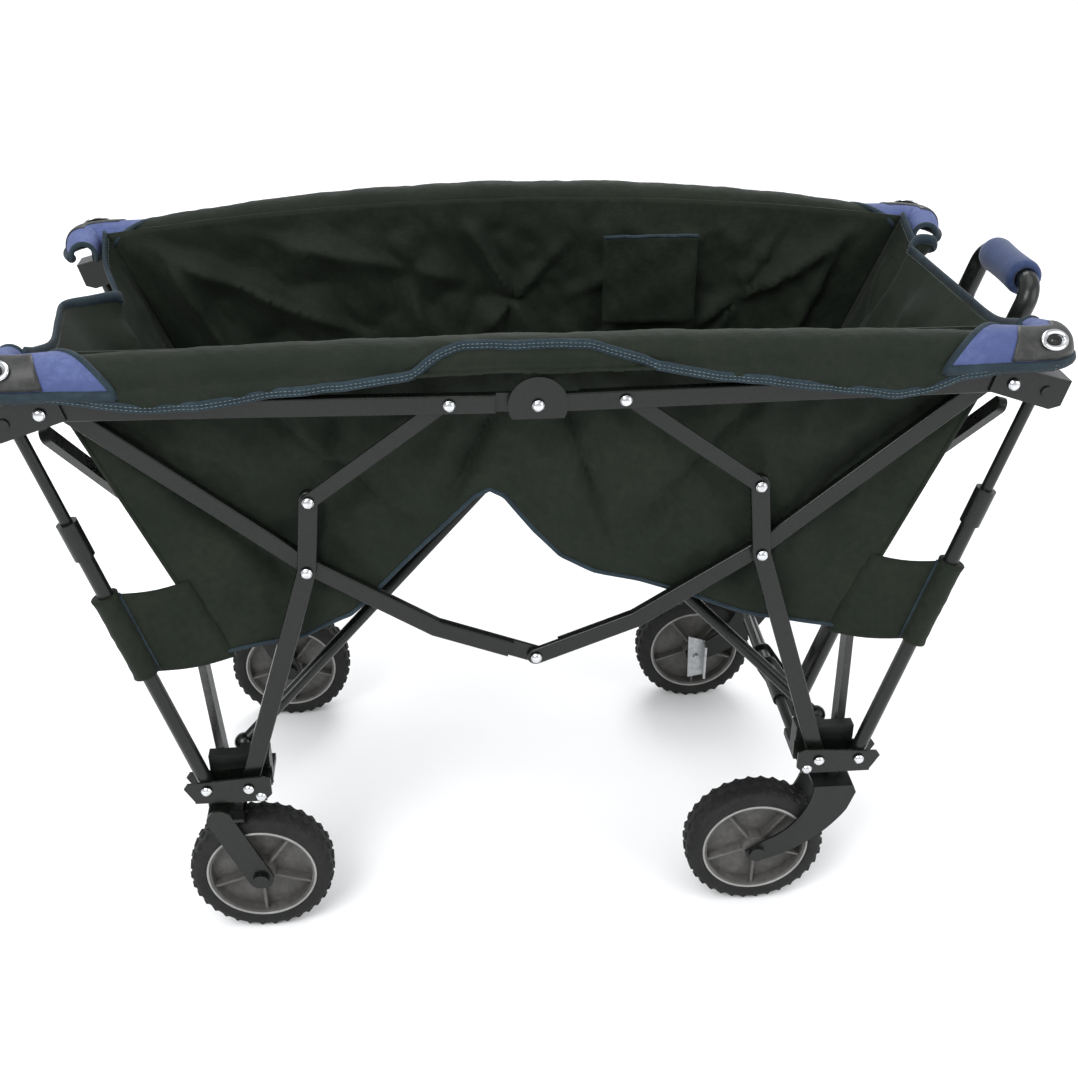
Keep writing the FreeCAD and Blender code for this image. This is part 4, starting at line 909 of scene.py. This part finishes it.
# %% Post sleeves and the pocket
for end, end_sign in (("rear", -1), ("front", 1)):
    for side, side_sign in (("right", -1), ("left", 1)):
        tag = f"{end}_{side}"
        low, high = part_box(f"post_{tag}")
        radius = 0.0092
        near_x, far_x = sorted((abs(low.x), abs(high.x)))
        foot = Vector((end_sign * (near_x + radius), (low.y + high.y) / 2, low.z + radius))
        head = Vector((end_sign * (far_x - radius), (low.y + high.y) / 2, high.z - radius))
        slope = (head - foot) / (head.z - foot.z)
        line = [foot + slope * (z - foot.z) for z in np.linspace(0.352, 0.446, 15)]
        swell = 0.0126 + 0.0009 * np.abs(noise(np.linspace(0, 9, 15), np.zeros(15), 2.0))
        swell[[0, -1]] += 0.0012
        sleeve = tube(f"sleeve_{tag}", [tuple(p) for p in line], swell, CLOTH, up=(0, 1, 0), sides=24)
        beside = Vector((-end_sign * 0.013, -side_sign * 0.004, 0))
        seam = tube(f"sleeve_seam_{tag}", [tuple(p + beside) for p in line],
                    0.0022, BINDING, up=(0, 1, 0), sides=8)
        web_rows = []
        for p in line:
            wall_x = end_sign * np.interp(p.z, [0.358, TOP_Z], [LOW_X, TOP_X])
            away = Vector((wall_x - end_sign * 0.012, side_sign * WALL_Y, p.z))
            start = p + (away - p).normalized() * 0.011
            web_rows.append([start.lerp(away, t) + Vector((0, 0, -0.004 * math.sin(math.pi * t)))
                             for t in np.linspace(0, 1, 8)])
        web, _ = thick_cloth(f"sleeve_web_{tag}", np.array(web_rows, float), CLOTH, 0.002)
        for piece in (sleeve, seam, web):
            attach(piece, f"post_{tag}_body")

u, v = np.meshgrid(np.linspace(0.105, 0.215, 25), np.linspace(0.685, 0.580, 21))
depth = WALL_Y - 0.030 - 0.003 * noise(u * 30, v * 30, 3.0)
pocket, POCKET_AREA = thick_cloth("inner_pocket", np.stack([u, depth, v], axis=2), CLOTH, 0.0018)
pocket_edge = tube("pocket_edge", np.stack([u[0], depth[0], v[0]], axis=1), 0.0022, BINDING, sides=8)
print("pocket", round(POCKET_AREA, 4), "square metres")

# %% [markdown]
# ## How the cloth moves
# Each wall rides its own side's rear hub, an end rides its right bracket, and the floor rides the middle hub. The
# rolls are not attached to any body.

# %% Bodies for the cloth
for side in ("right", "left"):
    name = f"wall_{side}"
    for piece in (panels[name][0], *seams[name]) + ((pocket, pocket_edge) if side == "left" else ()):
        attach(piece, f"hub_rear_{side}_body")
        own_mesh(piece)
for end in ("rear", "front"):
    for piece in [panels[f"end_{end}"][0]] + [t for which, t in end_tapes if which == end]:
        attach(piece, f"bracket_{end}_right_body")
        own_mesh(piece)
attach(panels["bag_floor"][0], "floor_hub_body")
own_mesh(panels["bag_floor"][0])
for side, sign in (("right", -1), ("left", 1)):
    roll, area, tape, sewn = rolls[side]
    for piece in (roll, tape, *sewn):
        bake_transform(piece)
for name, (panel, area) in panels.items():
    wide = 0.92 if name.startswith("wall") else 0.364
    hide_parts("bag")

# %% [markdown]
# ## Foam grip
# A soft foam sleeve over the handle's cross tube: rounded ends, a slight waist, and open pores.

# %% Foam grip
low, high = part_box("handle_grip")
centre = (low + high) / 2
outer, half = (high.x - low.x) / 2, (high.y - low.y) / 2
bore = 0.0118
profile = [(bore, -half), (outer - 0.0035, -half), (outer - 0.0008, -half + 0.0022), (outer, -half + 0.007),
           (outer - 0.0006, -half * 0.5), (outer - 0.0010, 0), (outer - 0.0006, half * 0.5),
           (outer, half - 0.007),
           (outer - 0.0008, half - 0.0022), (outer - 0.0035, half), (bore, half)]
grip = revolve("foam_grip", centre, profile, FOAM, sides=72)
for vertex in grip.data.vertices:
    lift = 1 + 0.006 * float(noise(np.array(vertex.co.y * 60), np.array(vertex.co.x * 40), 2.0))
    vertex.co = centre + Vector(((vertex.co.x - centre.x) * lift, vertex.co.y - centre.y,
                                 (vertex.co.z - centre.z) * lift))
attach(grip, "handle_loop_body")
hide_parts("handle_grip")
print("foam grip", len(grip.data.vertices), "points")

# %% [markdown]
# ## Floor, light and camera
# A plain pale floor keeps the soft shadow. The camera stands where the photographer stood.

# %% Floor, light and camera
scene = bpy.context.scene
scene.view_settings.view_transform = "Standard"
floor_material = bpy.data.materials.new("pale_floor")
floor_material.use_nodes = True
floor_shader = floor_material.node_tree.nodes["Principled BSDF"]
floor_shader.inputs["Base Color"].default_value = (0.86, 0.86, 0.86, 1)
floor_shader.inputs["Roughness"].default_value = 0.9
FLOOR_HALF, FLOOR_Z = 9, -0.0005
corners = [(sx * FLOOR_HALF, sy * FLOOR_HALF, FLOOR_Z) for sx, sy in ((-1, -1), (1, -1), (1, 1), (-1, 1))]
ground_plane = make_mesh("studio_floor", corners, [(0, 1, 2, 3)], floor_material, smooth=False)


def soft_light(name, place, aim, size, power, tint=(1, 1, 1)):
    lamp = bpy.data.lights.new(name, "AREA")
    lamp.size, lamp.energy, lamp.color = size, power, tint
    made = bpy.data.objects.new(name, lamp)
    made.location = place
    made.rotation_euler = (Vector(aim) - Vector(place)).to_track_quat("-Z", "Y").to_euler()
    scene.collection.objects.link(made)


overhead = bpy.data.lights.new("overhead", "SUN")
overhead.energy, overhead.angle = 1.1, math.radians(50)
scene.collection.objects.link(bpy.data.objects.new("overhead", overhead))
soft_light("key", (-1.3, -2.0, 2.6), (0, 0, 0.4), 1.6, 70)
soft_light("fill", (2.2, -1.6, 1.4), (0, 0, 0.4), 1.8, 26)
soft_light("back", (0.4, 2.2, 2.3), (0, 0, 0.5), 1.6, 40)

world = bpy.data.worlds.new("studio")
scene.world = world
world.use_nodes = True
tree = world.node_tree
tree.nodes.clear()
path = tree.nodes.new("ShaderNodeLightPath")
either = tree.nodes.new("ShaderNodeMath")
either.operation = "MAXIMUM"
tree.links.new(path.outputs["Is Camera Ray"], either.inputs[0])
tree.links.new(path.outputs["Is Transmission Ray"], either.inputs[1])
white, soft = tree.nodes.new("ShaderNodeBackground"), tree.nodes.new("ShaderNodeBackground")
white.inputs["Color"].default_value = (1, 1, 1, 1)
soft.inputs["Color"].default_value = (0.95, 0.97, 1, 1)
soft.inputs["Strength"].default_value = 0.85
mix, out = tree.nodes.new("ShaderNodeMixShader"), tree.nodes.new("ShaderNodeOutputWorld")
tree.links.new(either.outputs[0], mix.inputs["Fac"])
tree.links.new(soft.outputs[0], mix.inputs[1])
tree.links.new(white.outputs[0], mix.inputs[2])
tree.links.new(mix.outputs[0], out.inputs["Surface"])

lens = bpy.data.cameras.new("photo_camera")
lens.lens, lens.sensor_width = 45.19, 36.0
camera = bpy.data.objects.new("photo_camera", lens)
camera.location = (-0.0878, -1.3664, 1.1595)
camera.rotation_euler = Vector((0.0670, 0.8651, -0.4971)).to_track_quat("-Z", "Y").to_euler()
scene.collection.objects.link(camera)
scene.camera = camera
